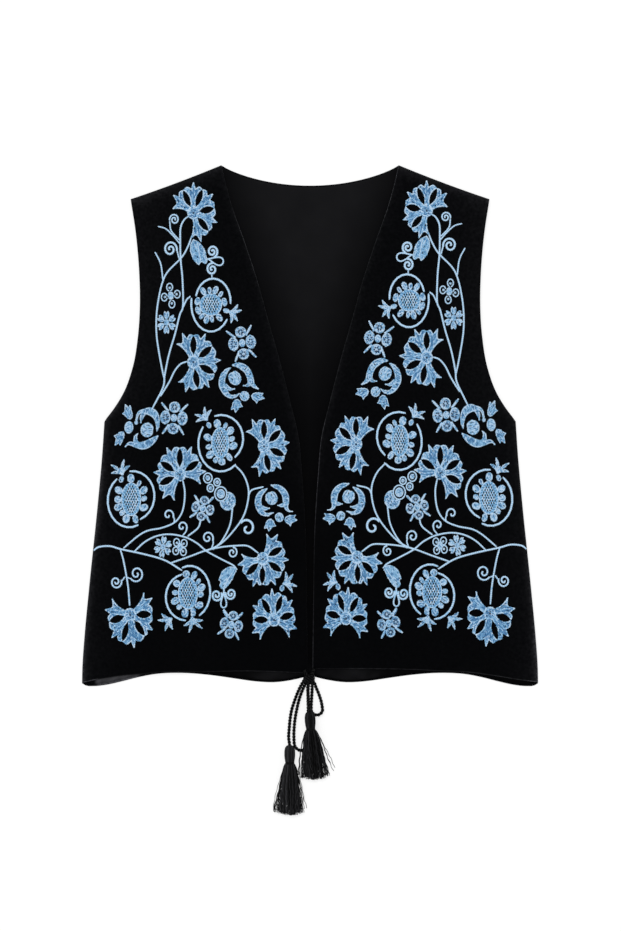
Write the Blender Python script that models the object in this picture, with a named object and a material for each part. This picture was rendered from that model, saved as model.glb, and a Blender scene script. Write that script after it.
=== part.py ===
"""Embroidered folk vest, laid flat with its front up and its tie knotted in a bow.

Row frame: +X to the viewer's right, +Y from the hem towards the neck, +Z up from the surface that the
vest lies on. The origin is on that surface, in the middle of the vest without its tie.

The back is one flat wall of velvet with a thinner lining on it. Each front is a wall that lies on the
lining and turns down to the back at the side and shoulder seams. The tie is a knot, two free ends with
tassels and two bow loops.

Tables and sizes are in millimetres. at() turns them into the row's metres.
"""

import math
import random
from collections import namedtuple

import bmesh
import bpy
import numpy as np
from mathutils import Vector

MM = 0.001

# Driving sizes of the garment
HEM_TO_NECK = 572.7  # lowest point of the hem to the neck points, the vest's whole length
NECK_HALF = 97.3
NECK_DEPTH = 22.4  # drop of the back's neckline below the neck points
SHOULDER_TIP_UP = 535.3
SHOULDER_TIP_OUT = 197.2
SHOULDER_DIP = 1.0  # sag of the shoulder seam between its ends
UNDERARM_UP = 291.5

# Walls and the heights that they lie at
GAP = 0.3
BACK_WALL = 1.6
LINING_WALL = 1.0
FRONT_WALL = 1.8
LINING_TOP = BACK_WALL + GAP + LINING_WALL
FRONT_UNDERSIDE = LINING_TOP + GAP
SEAM_UNDERSIDE = BACK_WALL + GAP  # where a front's wall has turned down to the back
SEAM_TURN = 6.5  # width of that turn
EDGE_ROUND = 2.4  # width over which a front's outer edge rounds off
EDGE_ROUND_SHARE = 0.55  # wall thickness left right at that edge

# How far the lining stays inside the back's outline
INSET_HEM = 2.6
INSET_NECK = 1.8
INSET_SEAM = 9.5
INSET_ARMHOLE = 3.0

# Tie
CORD_RADIUS = 1.4
CORD_STEP = 6.5  # distance between points of a cord's tube
TASSEL_STRANDS = 46
STRAND_RADIUS = 0.36

Edge = namedtuple("Edge", "up out")  # height above the hem's lowest point, distance from the centre line
Hem = namedtuple("Hem", "out up")
FrontHem = namedtuple("FrontHem", "out left_up right_up")
Fold = namedtuple("Fold", "side out up angle length width height")
Ring = namedtuple("Ring", "along wide")  # distance down from a tassel's top, half its width there
TieTassel = namedtuple("TieTassel", "x y z tilt tip_shift strand_drop seed")

SIDE = (
    Edge(0.0, 250.7),
    Edge(22.0, 250.2),
    Edge(55.0, 247.9),
    Edge(105.0, 243.2),
    Edge(204.0, 233.0),
    Edge(253.0, 228.6),
    Edge(UNDERARM_UP, 226.0),
)
ARMHOLE = (
    Edge(UNDERARM_UP, 226.0),
    Edge(303.0, 217.0),
    Edge(320.0, 206.2),
    Edge(350.0, 195.0),
    Edge(385.0, 189.1),
    Edge(420.0, 187.0),
    Edge(455.0, 187.8),
    Edge(500.0, 191.8),
    Edge(SHOULDER_TIP_UP, SHOULDER_TIP_OUT),
)
FRONT_EDGE = (
    Edge(14.0, 2.6),
    Edge(92.0, 3.5),
    Edge(178.0, 5.2),
    Edge(236.0, 9.0),
    Edge(272.0, 12.2),
    Edge(316.0, 22.6),
    Edge(358.6, 33.5),
    Edge(402.6, 46.0),
    Edge(446.6, 58.2),
    Edge(489.5, 72.4),
    Edge(531.0, 86.9),
    Edge(551.0, 92.5),
    Edge(HEM_TO_NECK, NECK_HALF),
)
BACK_HEM = (
    Hem(0.0, 11.5),
    Hem(14.0, 7.9),
    Hem(39.6, 4.2),
    Hem(60.0, 5.2),
    Hem(84.0, 8.6),
    Hem(110.0, 12.2),
    Hem(142.0, 14.5),
    Hem(170.0, 13.2),
    Hem(189.0, 9.6),
    Hem(207.0, 5.0),
    Hem(224.0, 1.3),
    Hem(237.0, 0.0),
    Hem(246.4, 0.9),
    Hem(249.7, 3.0),
)
FRONT_HEM = (
    FrontHem(2.6, 14.3, 18.9),
    FrontHem(66.0, 16.5, 19.0),
    FrontHem(121.0, 15.6, 17.8),
    FrontHem(143.0, 15.6, 16.6),
    FrontHem(165.0, 15.2, 16.0),
    FrontHem(182.0, 13.6, 14.4),
    FrontHem(204.0, 12.1, 11.2),
    FrontHem(231.0, 9.9, 6.8),
    FrontHem(250.6, 8.2, 4.4),
)
# Soft ridges and hollows in the fronts. angle is from +X, counter-clockwise on the viewer's right front
# and mirrored on the left one; side 0 is both fronts.
FOLDS = (
    Fold(side=0, out=118, up=345, angle=80, length=120, width=52, height=1.3),
    Fold(side=0, out=140, up=120, angle=95, length=95, width=62, height=1.1),
    Fold(side=0, out=196, up=262, angle=155, length=62, width=11, height=0.9),
    Fold(side=0, out=188, up=225, angle=168, length=48, width=9, height=-0.6),
    Fold(side=0, out=150, up=480, angle=110, length=70, width=24, height=0.8),
    Fold(side=-1, out=70, up=60, angle=60, length=70, width=18, height=0.8),
    Fold(side=1, out=88, up=52, angle=70, length=60, width=20, height=0.9),
    Fold(side=-1, out=206, up=48, angle=100, length=60, width=14, height=0.9),
    Fold(side=1, out=212, up=70, angle=84, length=70, width=12, height=0.8),
    Fold(side=0, out=176, up=340, angle=70, length=45, width=14, height=0.9),
)
FOLD_MARGIN = 30.0  # folds fade out over this width from a front's edges
FOLD_AT_EDGE = 0.25  # share of a fold that reaches a free edge

# Shares of the width, from the outer edge to the front edge, and of the height, where a front has
# its lines of points. They are close together where the wall turns down at the seams.
COLUMNS = (0.0, 0.006, 0.018, 0.036, 0.09, 0.17, 0.27, 0.37, 0.47, 0.57, 0.67, 0.77, 0.86, 0.94, 1.0)
ROWS_BELOW_UNDERARM = 13
ROWS_ABOVE_UNDERARM = 14
ROW_BEFORE_SHOULDER = 0.955
ROWS_AT_SHOULDER = (0.974, 0.985, 0.995)

# Tie, as points (x, y, z) from the row's origin. Each route is a list of points that a smooth curve
# runs through.
KNOT_CENTRE = (-1.2, -277.9, 6.1)
KNOT_HALF = (5.8, 5.6, 4.0)
KNOT_TURNS = 3
KNOT_GROOVE = 0.09  # depth of the grooves between its turns, as a share of the radius
ROOT_LEFT = ((-7.4, -265.6, 6.9), (-6.0, -268.8, 7.1), (-4.2, -272.2, 7.2), (-2.6, -275.4, 6.6))
ROOT_RIGHT = ((5.6, -262.4, 6.9), (4.6, -266.8, 7.1), (2.4, -271.6, 7.2), (-0.2, -275.4, 6.6))
END_LEFT = (
    (-7.2, -280.6, 5.9),
    (-10.8, -287.0, 3.4),
    (-14.0, -294.3, 1.7),
    (-17.4, -303.5, 1.6),
    (-20.2, -312.5, 1.6),
    (-21.9, -322.0, 1.6),
    (-22.8, -331.5, 1.6),
    (-23.5, -342.0, 2.0),
    (-22.5, -350.3, 4.3),
)
END_RIGHT = (
    (-2.1, -283.9, 6.2),
    (-2.6, -289.0, 5.2),
    (-2.0, -296.5, 4.8),
    (-1.9, -304.5, 5.0),
    (-0.6, -312.8, 7.3),
)
LOOP_LEFT = (
    (-4.8, -283.0, 4.2),
    (-8.2, -290.2, 2.2),
    (-11.6, -299.6, 1.6),
    (-14.2, -310.0, 1.6),
    (-16.3, -321.0, 1.6),
    (-17.5, -332.0, 1.6),
    (-17.8, -342.0, 1.6),
    (-17.2, -350.6, 1.6),
    (-15.7, -353.9, 1.6),
    (-12.9, -356.3, 1.6),
    (-9.4, -357.1, 1.6),
    (-5.9, -356.3, 1.6),
    (-3.1, -353.9, 1.6),
    (-1.6, -350.6, 1.6),
    (-1.0, -342.0, 1.6),
    (-1.3, -330.0, 1.6),
    (-1.9, -316.0, 1.6),
    (-2.2, -302.0, 1.6),
    (-2.3, -293.0, 1.8),
    (-1.8, -285.0, 2.4),
)
LOOP_RIGHT = (
    (2.0, -283.2, 4.6),
    (2.2, -290.5, 2.2),
    (1.8, -298.5, 1.6),
    (1.4, -305.8, 1.6),
    (1.3, -312.4, 1.6),
    (2.3, -315.2, 1.6),
    (4.3, -317.2, 1.6),
    (7.1, -318.1, 1.6),
    (10.0, -317.6, 1.6),
    (12.3, -315.8, 1.6),
    (13.6, -313.2, 1.6),
    (13.5, -310.3, 1.6),
    (12.2, -303.0, 1.6),
    (9.6, -295.0, 1.6),
    (6.6, -287.8, 2.2),
    (4.3, -282.0, 4.2),
)

HEAD_LENGTH = 20.0
HEAD_FLATTENING = 0.84  # height of a tassel's head over its width
HEAD_SIDES = 14
HEAD = (
    Ring(0.0, 2.0),
    Ring(0.8, 3.3),
    Ring(2.6, 4.5),
    Ring(6.0, 5.1),
    Ring(11.0, 5.3),
    Ring(15.0, 5.0),
    Ring(18.0, 4.4),
    Ring(HEAD_LENGTH, 4.2),
)
SKIRT_LENGTH = 55.0
SKIRT_HALF = 12.0  # half the skirt's width at its ends
SKIRT_HEIGHT = 5.0
STRAND_ROOT = 5.0  # how far a strand starts inside the head
STRAND_PITCH = 1.06
STRAND_STEPS = 3
STRAND_FLOOR = 0.7  # height of the lowest strands' axes at their ends
TASSEL_LEFT = TieTassel(x=-22.2, y=-351.0, z=4.8, tilt=0.0, tip_shift=0.6, strand_drop=0.75, seed=3)
TASSEL_RIGHT = TieTassel(x=-0.3, y=-313.6, z=7.9, tilt=3.0, tip_shift=0.4, strand_drop=2.6, seed=8)

Finish = namedtuple("Finish", "color roughness")
VELVET = Finish((0.006, 0.006, 0.009), 0.9)
LINING = Finish((0.020, 0.020, 0.023), 0.6)
CORD = Finish((0.008, 0.008, 0.009), 0.55)
YARN = Finish((0.012, 0.012, 0.014), 0.6)


def clear_scene():
    for item in list(bpy.data.objects):
        bpy.data.objects.remove(item, do_unlink=True)


def material(name, finish):
    """A Principled material of one colour."""
    made = bpy.data.materials.new(name)
    made.use_nodes = True
    shader = made.node_tree.nodes["Principled BSDF"]
    shader.inputs["Base Color"].default_value = (*finish.color, 1.0)
    shader.inputs["Roughness"].default_value = finish.roughness
    shader.inputs["Metallic"].default_value = 0.0
    return made


def at(x, up, z):
    """Metres from millimetres, with the height above the hem's lowest point turned into Y."""
    return Vector((x, up - HEM_TO_NECK / 2, z)) * MM


def smooth_curve(places, values):
    """A smooth function through values at rising places: cubic pieces whose slopes are the mean
    slopes round each place."""
    places = np.array(places, float)
    values = np.array(values, float)
    steps = np.diff(values) / np.diff(places)
    slopes = np.gradient(values, places)
    slopes[0] = steps[0]
    slopes[-1] = steps[-1]

    def value(place):
        i = int(np.clip(np.searchsorted(places, place) - 1, 0, len(places) - 2))
        width = places[i + 1] - places[i]
        t = (place - places[i]) / width
        return float(
            values[i] * (1 + 2 * t) * (1 - t) ** 2
            + slopes[i] * width * t * (1 - t) ** 2
            + values[i + 1] * t * t * (3 - 2 * t)
            + slopes[i + 1] * width * t * t * (t - 1)
        )

    return value


def smoothstep(value):
    t = min(max(value, 0.0), 1.0)
    return t * t * (3 - 2 * t)


side_out = smooth_curve([row.up for row in SIDE], [row.out for row in SIDE])
armhole_out = smooth_curve([row.up for row in ARMHOLE], [row.out for row in ARMHOLE])
front_edge_out = smooth_curve([row.up for row in FRONT_EDGE], [row.out for row in FRONT_EDGE])
back_hem_up = smooth_curve([row.out for row in BACK_HEM], [row.up for row in BACK_HEM])
front_hem_up = {
    -1: smooth_curve([row.out for row in FRONT_HEM], [row.left_up for row in FRONT_HEM]),
    1: smooth_curve([row.out for row in FRONT_HEM], [row.right_up for row in FRONT_HEM]),
}


def outer_out(up):
    """Half the vest's width at a height, along the side seam and the armhole."""
    return side_out(up) if up <= UNDERARM_UP else armhole_out(up)


def shoulder_up(out):
    """Height of the shoulder seam, from the neck point to the shoulder's tip."""
    t = (out - NECK_HALF) / (SHOULDER_TIP_OUT - NECK_HALF)
    return HEM_TO_NECK + t * (SHOULDER_TIP_UP - HEM_TO_NECK) - 4 * SHOULDER_DIP * t * (1 - t)


def neckline_up(out):
    """Height of the back's neckline."""
    return HEM_TO_NECK - NECK_DEPTH * (1 - (out / NECK_HALF) ** 2) ** 0.85


def half_outline():
    """Points (out, up, inset) round one half of the back, from the middle of the neckline to the
    middle of the hem. inset is how far the lining stays inside the outline there, and None where
    the lining has no point, next to a seam's end."""
    points = []
    for step in range(10):
        out = NECK_HALF * math.sin(0.5 * math.pi * step / 10)
        points.append((out, neckline_up(out), INSET_NECK if step < 8 else None))
    for step in range(4):
        out = NECK_HALF + (SHOULDER_TIP_OUT - NECK_HALF) * step / 4
        points.append((out, shoulder_up(out), INSET_SEAM))
    for step in range(14):
        up = SHOULDER_TIP_UP + (UNDERARM_UP - SHOULDER_TIP_UP) * step / 14
        points.append((armhole_out(up), up, INSET_ARMHOLE if step else INSET_SEAM))
    side_end = BACK_HEM[-1].up + 3.0
    for step in range(9):
        up = UNDERARM_UP + (side_end - UNDERARM_UP) * step / 8
        points.append((side_out(up), up, INSET_SEAM))
    for out in (249.7, 248.4, 246.4, 243.5):
        points.append((out, back_hem_up(out), None))
    for step in range(23):
        out = 237.0 * (1 - step / 23)
        points.append((out, back_hem_up(out), INSET_HEM))
    points.append((0.0, back_hem_up(0.0), INSET_HEM))
    return points


def both_halves():
    right = half_outline()
    return right + [(-out, up, inset) for out, up, inset in reversed(right[1:-1])]


def back_outline():
    """The back's closed outline as (x, up), clockwise."""
    return [(x, up) for x, up, _ in both_halves()]


def lining_outline():
    """The lining's closed outline as (x, up): the back's, moved inwards by each point's inset."""
    ring = both_halves()
    moved = []
    for index, (x, up, inset) in enumerate(ring):
        if inset is None:
            continue
        before = Vector(ring[index - 1][:2])
        after = Vector(ring[(index + 1) % len(ring)][:2])
        along = (after - before).normalized()
        inwards = Vector((along.y, -along.x))
        place = Vector((x, up)) + inwards * inset
        moved.append((place.x, place.y))
    return moved


def finished(name, bm, finish, smooth=True):
    """An object from a bmesh, with faces pointing out and its own material."""
    bmesh.ops.recalc_face_normals(bm, faces=bm.faces)
    mesh = bpy.data.meshes.new(name)
    bm.to_mesh(mesh)
    bm.free()
    if smooth:
        mesh.shade_smooth()
        mesh.set_sharp_from_angle(angle=math.radians(40))
    mesh.materials.append(material(name, finish))
    made = bpy.data.objects.new(name, mesh)
    bpy.context.scene.collection.objects.link(made)
    return made


def flat_wall(name, outline, low, thickness, finish):
    """A flat wall of cloth: an outline filled and extruded upwards."""
    bm = bmesh.new()
    ring = [bm.verts.new(at(x, up, low)) for x, up in outline]
    underside = bm.faces.new(ring)
    raised = bmesh.ops.extrude_face_region(bm, geom=[underside])
    top = [item for item in raised["geom"] if isinstance(item, bmesh.types.BMVert)]
    bmesh.ops.translate(bm, verts=top, vec=Vector((0, 0, thickness * MM)))
    return finished(name, bm, finish)


def front_point(side, across, height):
    """(x, up) inside a front, from its four edges: across runs from the outer edge to the front edge
    and height from the hem to the shoulder, both 0 to 1."""
    hem_up = front_hem_up[side]
    outer_up = (1 - height) * hem_up(FRONT_HEM[-1].out) + height * SHOULDER_TIP_UP
    inner_up = (1 - height) * hem_up(FRONT_HEM[0].out) + height * HEM_TO_NECK
    outer = outer_out(outer_up)
    inner = front_edge_out(inner_up)
    hem_x = FRONT_HEM[-1].out + across * (FRONT_HEM[0].out - FRONT_HEM[-1].out)
    top_x = SHOULDER_TIP_OUT + across * (NECK_HALF - SHOULDER_TIP_OUT)
    hem_line = (1 - across) * hem_up(FRONT_HEM[-1].out) + across * hem_up(FRONT_HEM[0].out)
    top_line = (1 - across) * SHOULDER_TIP_UP + across * HEM_TO_NECK
    out = (1 - across) * outer + across * inner
    up = (1 - across) * outer_up + across * inner_up
    up += (1 - height) * (hem_up(hem_x) - hem_line) + height * (shoulder_up(top_x) - top_line)
    return side * out, up


def seam_distance(x, up):
    """Distance from the side seam or the shoulder seam, whichever is nearer."""
    out = abs(x)
    slope = (HEM_TO_NECK - SHOULDER_TIP_UP) / (SHOULDER_TIP_OUT - NECK_HALF)
    to_shoulder = (shoulder_up(out) - up) / math.hypot(1, slope)
    to_side = outer_out(up) - out + max(0.0, up - UNDERARM_UP)
    return max(0.0, min(to_shoulder, to_side))


def fold_height(side, x, up):
    """Sum of the soft ridges and hollows at a point, before it fades towards the edges."""
    total = 0.0
    for fold in FOLDS:
        if fold.side not in (0, side):
            continue
        turn = math.radians(fold.angle)
        dx = abs(x) - fold.out
        dy = up - fold.up
        along = dx * math.cos(turn) + dy * math.sin(turn)
        aside = -dx * math.sin(turn) + dy * math.cos(turn)
        total += fold.height * math.exp(-((along / fold.length) ** 2) - (aside / fold.width) ** 2)
    return total


def front_underside(side, x, up):
    """Height of a front's underside."""
    seam = seam_distance(x, up)
    base = SEAM_UNDERSIDE + (FRONT_UNDERSIDE - SEAM_UNDERSIDE) * smoothstep(seam / SEAM_TURN)
    free = min(outer_out(up) - abs(x), abs(x) - front_edge_out(max(up, FRONT_EDGE[0].up)))
    free = min(free, up - front_hem_up[side](abs(x)))
    fade = FOLD_AT_EDGE + (1 - FOLD_AT_EDGE) * smoothstep(free / FOLD_MARGIN)
    fade *= smoothstep(seam / FOLD_MARGIN)
    return base + max(0.0, fold_height(side, x, up) * fade)


def front_panel(name, side):
    """One front: a grid of points on the underside and one on top, joined round the edges."""
    kink = (UNDERARM_UP - front_hem_up[side](FRONT_HEM[-1].out)) / (
        SHOULDER_TIP_UP - front_hem_up[side](FRONT_HEM[-1].out)
    )
    below = [kink * (step / ROWS_BELOW_UNDERARM) for step in range(ROWS_BELOW_UNDERARM)]
    above = [
        kink + (ROW_BEFORE_SHOULDER - kink) * (step / ROWS_ABOVE_UNDERARM) ** 1.12
        for step in range(ROWS_ABOVE_UNDERARM + 1)
    ]
    heights = below + above + list(ROWS_AT_SHOULDER) + [1.0]
    bm = bmesh.new()
    lower = []
    upper = []
    for height in heights:
        low_row = []
        top_row = []
        for across in COLUMNS:
            x, up = front_point(side, across, height)
            under = front_underside(side, x, up)
            seam = smoothstep(seam_distance(x, up) / EDGE_ROUND)
            wall = FRONT_WALL * (EDGE_ROUND_SHARE + (1 - EDGE_ROUND_SHARE) * seam)
            low_row.append(bm.verts.new(at(x, up, under)))
            top_row.append(bm.verts.new(at(x, up, under + wall)))
        lower.append(low_row)
        upper.append(top_row)
    rows = len(heights)
    columns = len(COLUMNS)
    for grid in (lower, upper):
        for i in range(rows - 1):
            for j in range(columns - 1):
                bm.faces.new((grid[i][j], grid[i][j + 1], grid[i + 1][j + 1], grid[i + 1][j]))
    rim = [(0, j) for j in range(columns)]
    rim += [(i, columns - 1) for i in range(1, rows)]
    rim += [(rows - 1, j) for j in range(columns - 2, -1, -1)]
    rim += [(i, 0) for i in range(rows - 2, 0, -1)]
    for (i, j), (k, m) in zip(rim, rim[1:] + rim[:1]):
        bm.faces.new((lower[i][j], lower[k][m], upper[k][m], upper[i][j]))
    return finished(name, bm, VELVET)


def through_points(route, step):
    """Points at about one step along a smooth curve through a route (a Catmull-Rom curve), in
    millimetres."""
    places = [Vector(point) for point in route]
    first = 2 * places[0] - places[1]
    last = 2 * places[-1] - places[-2]
    places = [first, *places, last]
    found = []
    for a, b, c, d in zip(places, places[1:], places[2:], places[3:]):
        count = max(1, round((c - b).length / step))
        for part in range(count):
            t = part / count
            found.append(
                0.5
                * (
                    2 * b
                    + (c - a) * t
                    + (2 * a - 5 * b + 4 * c - d) * t * t
                    + (3 * b - 3 * c + d - a) * t**3
                )
            )
    found.append(places[-2])
    return found


def cord_tube(name, route):
    """A free cord: a round tube with closed ends along a route."""
    points = through_points(route, CORD_STEP)
    curve = bpy.data.curves.new(name, "CURVE")
    curve.dimensions = "3D"
    curve.bevel_depth = CORD_RADIUS * MM
    curve.bevel_resolution = 2
    curve.use_fill_caps = True
    spline = curve.splines.new("POLY")
    spline.points.add(len(points) - 1)
    for target, point in zip(spline.points, points):
        target.co = (*(point * MM), 1.0)
    curve.materials.append(material(name, CORD))
    made = bpy.data.objects.new(name, curve)
    bpy.context.scene.collection.objects.link(made)
    return made


def prism_along(bm, points, radius, end_radius, sides):
    """A closed prism along points in millimetres, its radius changing evenly from root to end."""
    rings = []
    for index, point in enumerate(points):
        before = points[max(index - 1, 0)]
        after = points[min(index + 1, len(points) - 1)]
        along = (after - before).normalized()
        across = along.cross(Vector((0, 0, 1))).normalized()
        upwards = across.cross(along)
        share = index / (len(points) - 1)
        reach = radius + (end_radius - radius) * share
        ring = []
        for side in range(sides):
            turn = math.tau * (side + 0.5) / sides
            offset = (across * math.cos(turn) + upwards * math.sin(turn)) * reach
            ring.append(bm.verts.new((point + offset) * MM))
        rings.append(ring)
    for one, two in zip(rings, rings[1:]):
        for side in range(sides):
            following = (side + 1) % sides
            bm.faces.new((one[side], one[following], two[following], two[side]))
    bm.faces.new(rings[0])
    bm.faces.new(rings[-1])


def turned_head(bm, rings, sides, place):
    """A closed turned form: rings are (distance along, half width, half height), and place() gives
    the row's point for a distance along and an offset from the axis."""
    made = []
    for along, wide, high in rings:
        ring = []
        for side in range(sides):
            turn = math.tau * side / sides
            ring.append(bm.verts.new(place(along, wide * math.cos(turn), high * math.sin(turn))))
        made.append(ring)
    for one, two in zip(made, made[1:]):
        for side in range(sides):
            following = (side + 1) % sides
            bm.faces.new((one[side], one[following], two[following], two[side]))
    bm.faces.new(made[0])
    bm.faces.new(made[-1])


def joined_to(target, bm):
    """Fuses the closed bodies of a bmesh to an object with a Boolean union."""
    bmesh.ops.recalc_face_normals(bm, faces=bm.faces)
    mesh = bpy.data.meshes.new(f"{target.name}_addition")
    bm.to_mesh(mesh)
    bm.free()
    addition = bpy.data.objects.new(mesh.name, mesh)
    addition.hide_render = True
    addition.display_type = "WIRE"
    bpy.context.scene.collection.objects.link(addition)
    union = target.modifiers.new("union", "BOOLEAN")
    union.operation = "UNION"
    union.solver = "EXACT"
    union.object = addition


def knot():
    """The bow's knot, with the two roots that are sewn to the fronts' corners."""
    centre = Vector(KNOT_CENTRE)
    half = Vector(KNOT_HALF)
    bm = bmesh.new()
    rings = []
    steps = 4 * KNOT_TURNS
    for step in range(steps + 1):
        turn = math.pi * (0.06 + 0.88 * step / steps)
        groove = 1 - KNOT_GROOVE * (1 - math.cos(math.tau * KNOT_TURNS * step / steps)) / 2
        reach = math.sin(turn) * groove
        rings.append((-math.cos(turn) * half.y, half.x * reach, half.z * reach))
    turned_head(bm, rings, 16, lambda along, x, z: (centre + Vector((x, along, z))) * MM)
    made = finished("tie_knot", bm, CORD)
    roots = bmesh.new()
    for route in (ROOT_LEFT, ROOT_RIGHT):
        prism_along(roots, through_points(route, 3.0), CORD_RADIUS, CORD_RADIUS, 8)
    joined_to(made, roots)
    return made


def strand_roots():
    """Places of the strands' roots in the neck of a tassel, in rows like stacked logs."""
    wide = HEAD[-1].wide - STRAND_RADIUS - 0.25
    high = wide * HEAD_FLATTENING
    found = []
    for row in range(-5, 6):
        z = row * STRAND_PITCH * 0.87
        for place in range(-6, 7):
            x = (place + 0.5 * (row % 2)) * STRAND_PITCH
            if (x / wide) ** 2 + (z / high) ** 2 <= 1:
                found.append((x, z))
    found.sort(key=lambda root: (root[0] / wide) ** 2 + (root[1] / high) ** 2)
    return sorted(found[:TASSEL_STRANDS])


def tassel(name, form):
    """A tassel lying on the surface: a turned head and a skirt of strands fused to it at the neck."""
    tilt = math.radians(form.tilt)
    down = Vector((math.sin(tilt), -math.cos(tilt), 0))
    across = Vector((math.cos(tilt), math.sin(tilt), 0))
    top = Vector((form.x, form.y, form.z))

    def place(along, x, z):
        return top + down * along + across * x + Vector((0, 0, z))

    bm = bmesh.new()
    rings = [(ring.along, ring.wide, ring.wide * HEAD_FLATTENING) for ring in HEAD]
    turned_head(bm, rings, HEAD_SIDES, lambda along, x, z: place(along, x, z) * MM)
    made = finished(name, bm, YARN)

    dice = random.Random(form.seed)
    strands = bmesh.new()
    wide = HEAD[-1].wide
    high = wide * HEAD_FLATTENING
    for x, z in strand_roots():
        length = SKIRT_LENGTH * (1 - 0.05 * dice.random() - 0.05 * (x / wide) ** 2)
        lean = dice.uniform(-0.25, 0.25)
        tip_z = STRAND_FLOOR + SKIRT_HEIGHT * (z + high) / (2 * high)
        points = [place(HEAD_LENGTH - STRAND_ROOT, x, z)]
        for step in range(STRAND_STEPS + 1):
            t = step / STRAND_STEPS
            flare = 1 + (SKIRT_HALF / wide - 1) * (0.75 * t + 0.25 * math.sin(math.pi * t / 2))
            lowered = z + (tip_z - form.z - z) * smoothstep(t ** form.strand_drop)
            shift = form.tip_shift * t + lean * t
            points.append(place(HEAD_LENGTH + length * t, x * flare + shift, lowered))
        prism_along(strands, points, STRAND_RADIUS, STRAND_RADIUS * 0.85, 3)
    joined_to(made, strands)
    return made


def build():
    clear_scene()
    flat_wall("back", back_outline(), 0.0, BACK_WALL, VELVET)
    flat_wall("back_lining", lining_outline(), BACK_WALL + GAP, LINING_WALL, LINING)
    front_panel("front_left", -1)
    front_panel("front_right", 1)
    knot()
    cord_tube("tie_end_left", END_LEFT)
    cord_tube("tie_end_right", END_RIGHT)
    cord_tube("bow_loop_left", LOOP_LEFT)
    cord_tube("bow_loop_right", LOOP_RIGHT)
    tassel("tassel_left", TASSEL_LEFT)
    tassel("tassel_right", TASSEL_RIGHT)


build()
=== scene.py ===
# %% [markdown]
# # Embroidered folk vest, laid flat
#
# A black velvet vest lies on its back with both fronts up. Light-blue embroidery covers the fronts, and
# a twisted cord tied in a bow holds them together at the hem. The frame gives the solids of the vest at
# real size. This script lays cloth, cord, yarn and stitches over them, and never moves them.

import math
import random
from collections import namedtuple

import bpy
import numpy as np
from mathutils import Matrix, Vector


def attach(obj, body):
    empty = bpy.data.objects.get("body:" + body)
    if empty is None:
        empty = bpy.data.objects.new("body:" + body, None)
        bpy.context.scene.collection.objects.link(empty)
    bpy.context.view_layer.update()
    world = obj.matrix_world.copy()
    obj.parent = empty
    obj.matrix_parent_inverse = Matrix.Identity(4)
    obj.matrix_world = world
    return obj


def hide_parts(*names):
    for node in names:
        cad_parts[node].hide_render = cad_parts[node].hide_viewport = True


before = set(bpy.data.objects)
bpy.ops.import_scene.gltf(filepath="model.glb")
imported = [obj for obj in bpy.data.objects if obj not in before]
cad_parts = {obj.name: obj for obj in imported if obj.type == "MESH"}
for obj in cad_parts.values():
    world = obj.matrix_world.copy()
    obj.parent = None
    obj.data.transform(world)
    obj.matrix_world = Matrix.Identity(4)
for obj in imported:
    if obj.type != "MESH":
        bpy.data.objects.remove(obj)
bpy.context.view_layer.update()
MM = 0.001
BODY = "root"
print("nodes:", ", ".join(sorted(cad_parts)))

# %% [markdown]
# ## Two small habits
#
# An operator works on everything that is selected, so the selection is emptied before each one. A
# finished piece sits at the origin with its place in its own mesh and rides on the vest's one body.

# %% Helpers for pieces
WHITE = (1.0, 1.0, 1.0, 1.0)


def select_only(*items):
    bpy.ops.object.select_all(action="DESELECT")
    for item in items:
        item.select_set(True)
    if items:
        bpy.context.view_layer.objects.active = items[0]


def apply_modifier(item, kind, **values):
    """Adds a modifier, sets it and applies it."""
    select_only(item)
    modifier = item.modifiers.new(kind.lower(), kind)
    for name, value in values.items():
        setattr(modifier, name, value)
    bpy.ops.object.modifier_apply(modifier=modifier.name)


def mesh_piece(name, places, faces):
    """An object from points in millimetres and the faces between them."""
    mesh = bpy.data.meshes.new(name)
    mesh.from_pydata(np.asarray(places, float) * MM, [], faces)
    mesh.shade_smooth()
    made = bpy.data.objects.new(name, mesh)
    bpy.context.scene.collection.objects.link(made)
    return made


def smoothstep(value):
    t = np.clip(value, 0.0, 1.0)
    return t * t * (3 - 2 * t)


def between(table, place):
    """The value at a place in a table of (place, value) rows, straight from row to row."""
    places, values = zip(*table)
    return np.interp(place, places, values)


def set_inputs(node, **values):
    """Sets sockets of a node by their titles, with _ for each space."""
    for title, value in values.items():
        node.inputs[title.replace("_", " ")].default_value = value


def settle(piece, finishes, replaced=(), numbers=None):
    """Puts finishes on a piece, one to a face if they are numbered, ties the piece to the vest's body and
    hides the solids that it stands for."""
    for one in finishes:
        piece.data.materials.append(one)
    if numbers is not None:
        piece.data.polygons.foreach_set("material_index", numbers)
    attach(piece, BODY)
    if replaced:
        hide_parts(*replaced)
    print(f"{piece.name}: {len(piece.data.polygons)} faces")


print("every piece rides on the body", BODY)

# %% [markdown]
# ## Camera
#
# The vest is seen from straight above, as a garment laid on a table is. A long lens a few metres up
# shows it almost without perspective, and the frame is 621 × 931 with 1.1 mm to a pixel.

# %% Place the camera
MM_PER_PIXEL = 1.1
IMAGE_TALL = 931
VIEW_CENTRE = (0.5, -43.8)
CAMERA_HEIGHT = 3200.0

camera_data = bpy.data.cameras.new("camera_above")
camera_data.sensor_fit = "VERTICAL"
camera_data.sensor_height = 36.0
camera_data.lens = camera_data.sensor_height * CAMERA_HEIGHT / (IMAGE_TALL * MM_PER_PIXEL)
camera_data.clip_end = 50.0
camera = bpy.data.objects.new("camera_above", camera_data)
camera.location = Vector((*VIEW_CENTRE, CAMERA_HEIGHT)) * MM
bpy.context.scene.collection.objects.link(camera)
bpy.context.scene.camera = camera
print(f"lens {camera_data.lens:.0f} mm")

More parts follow.
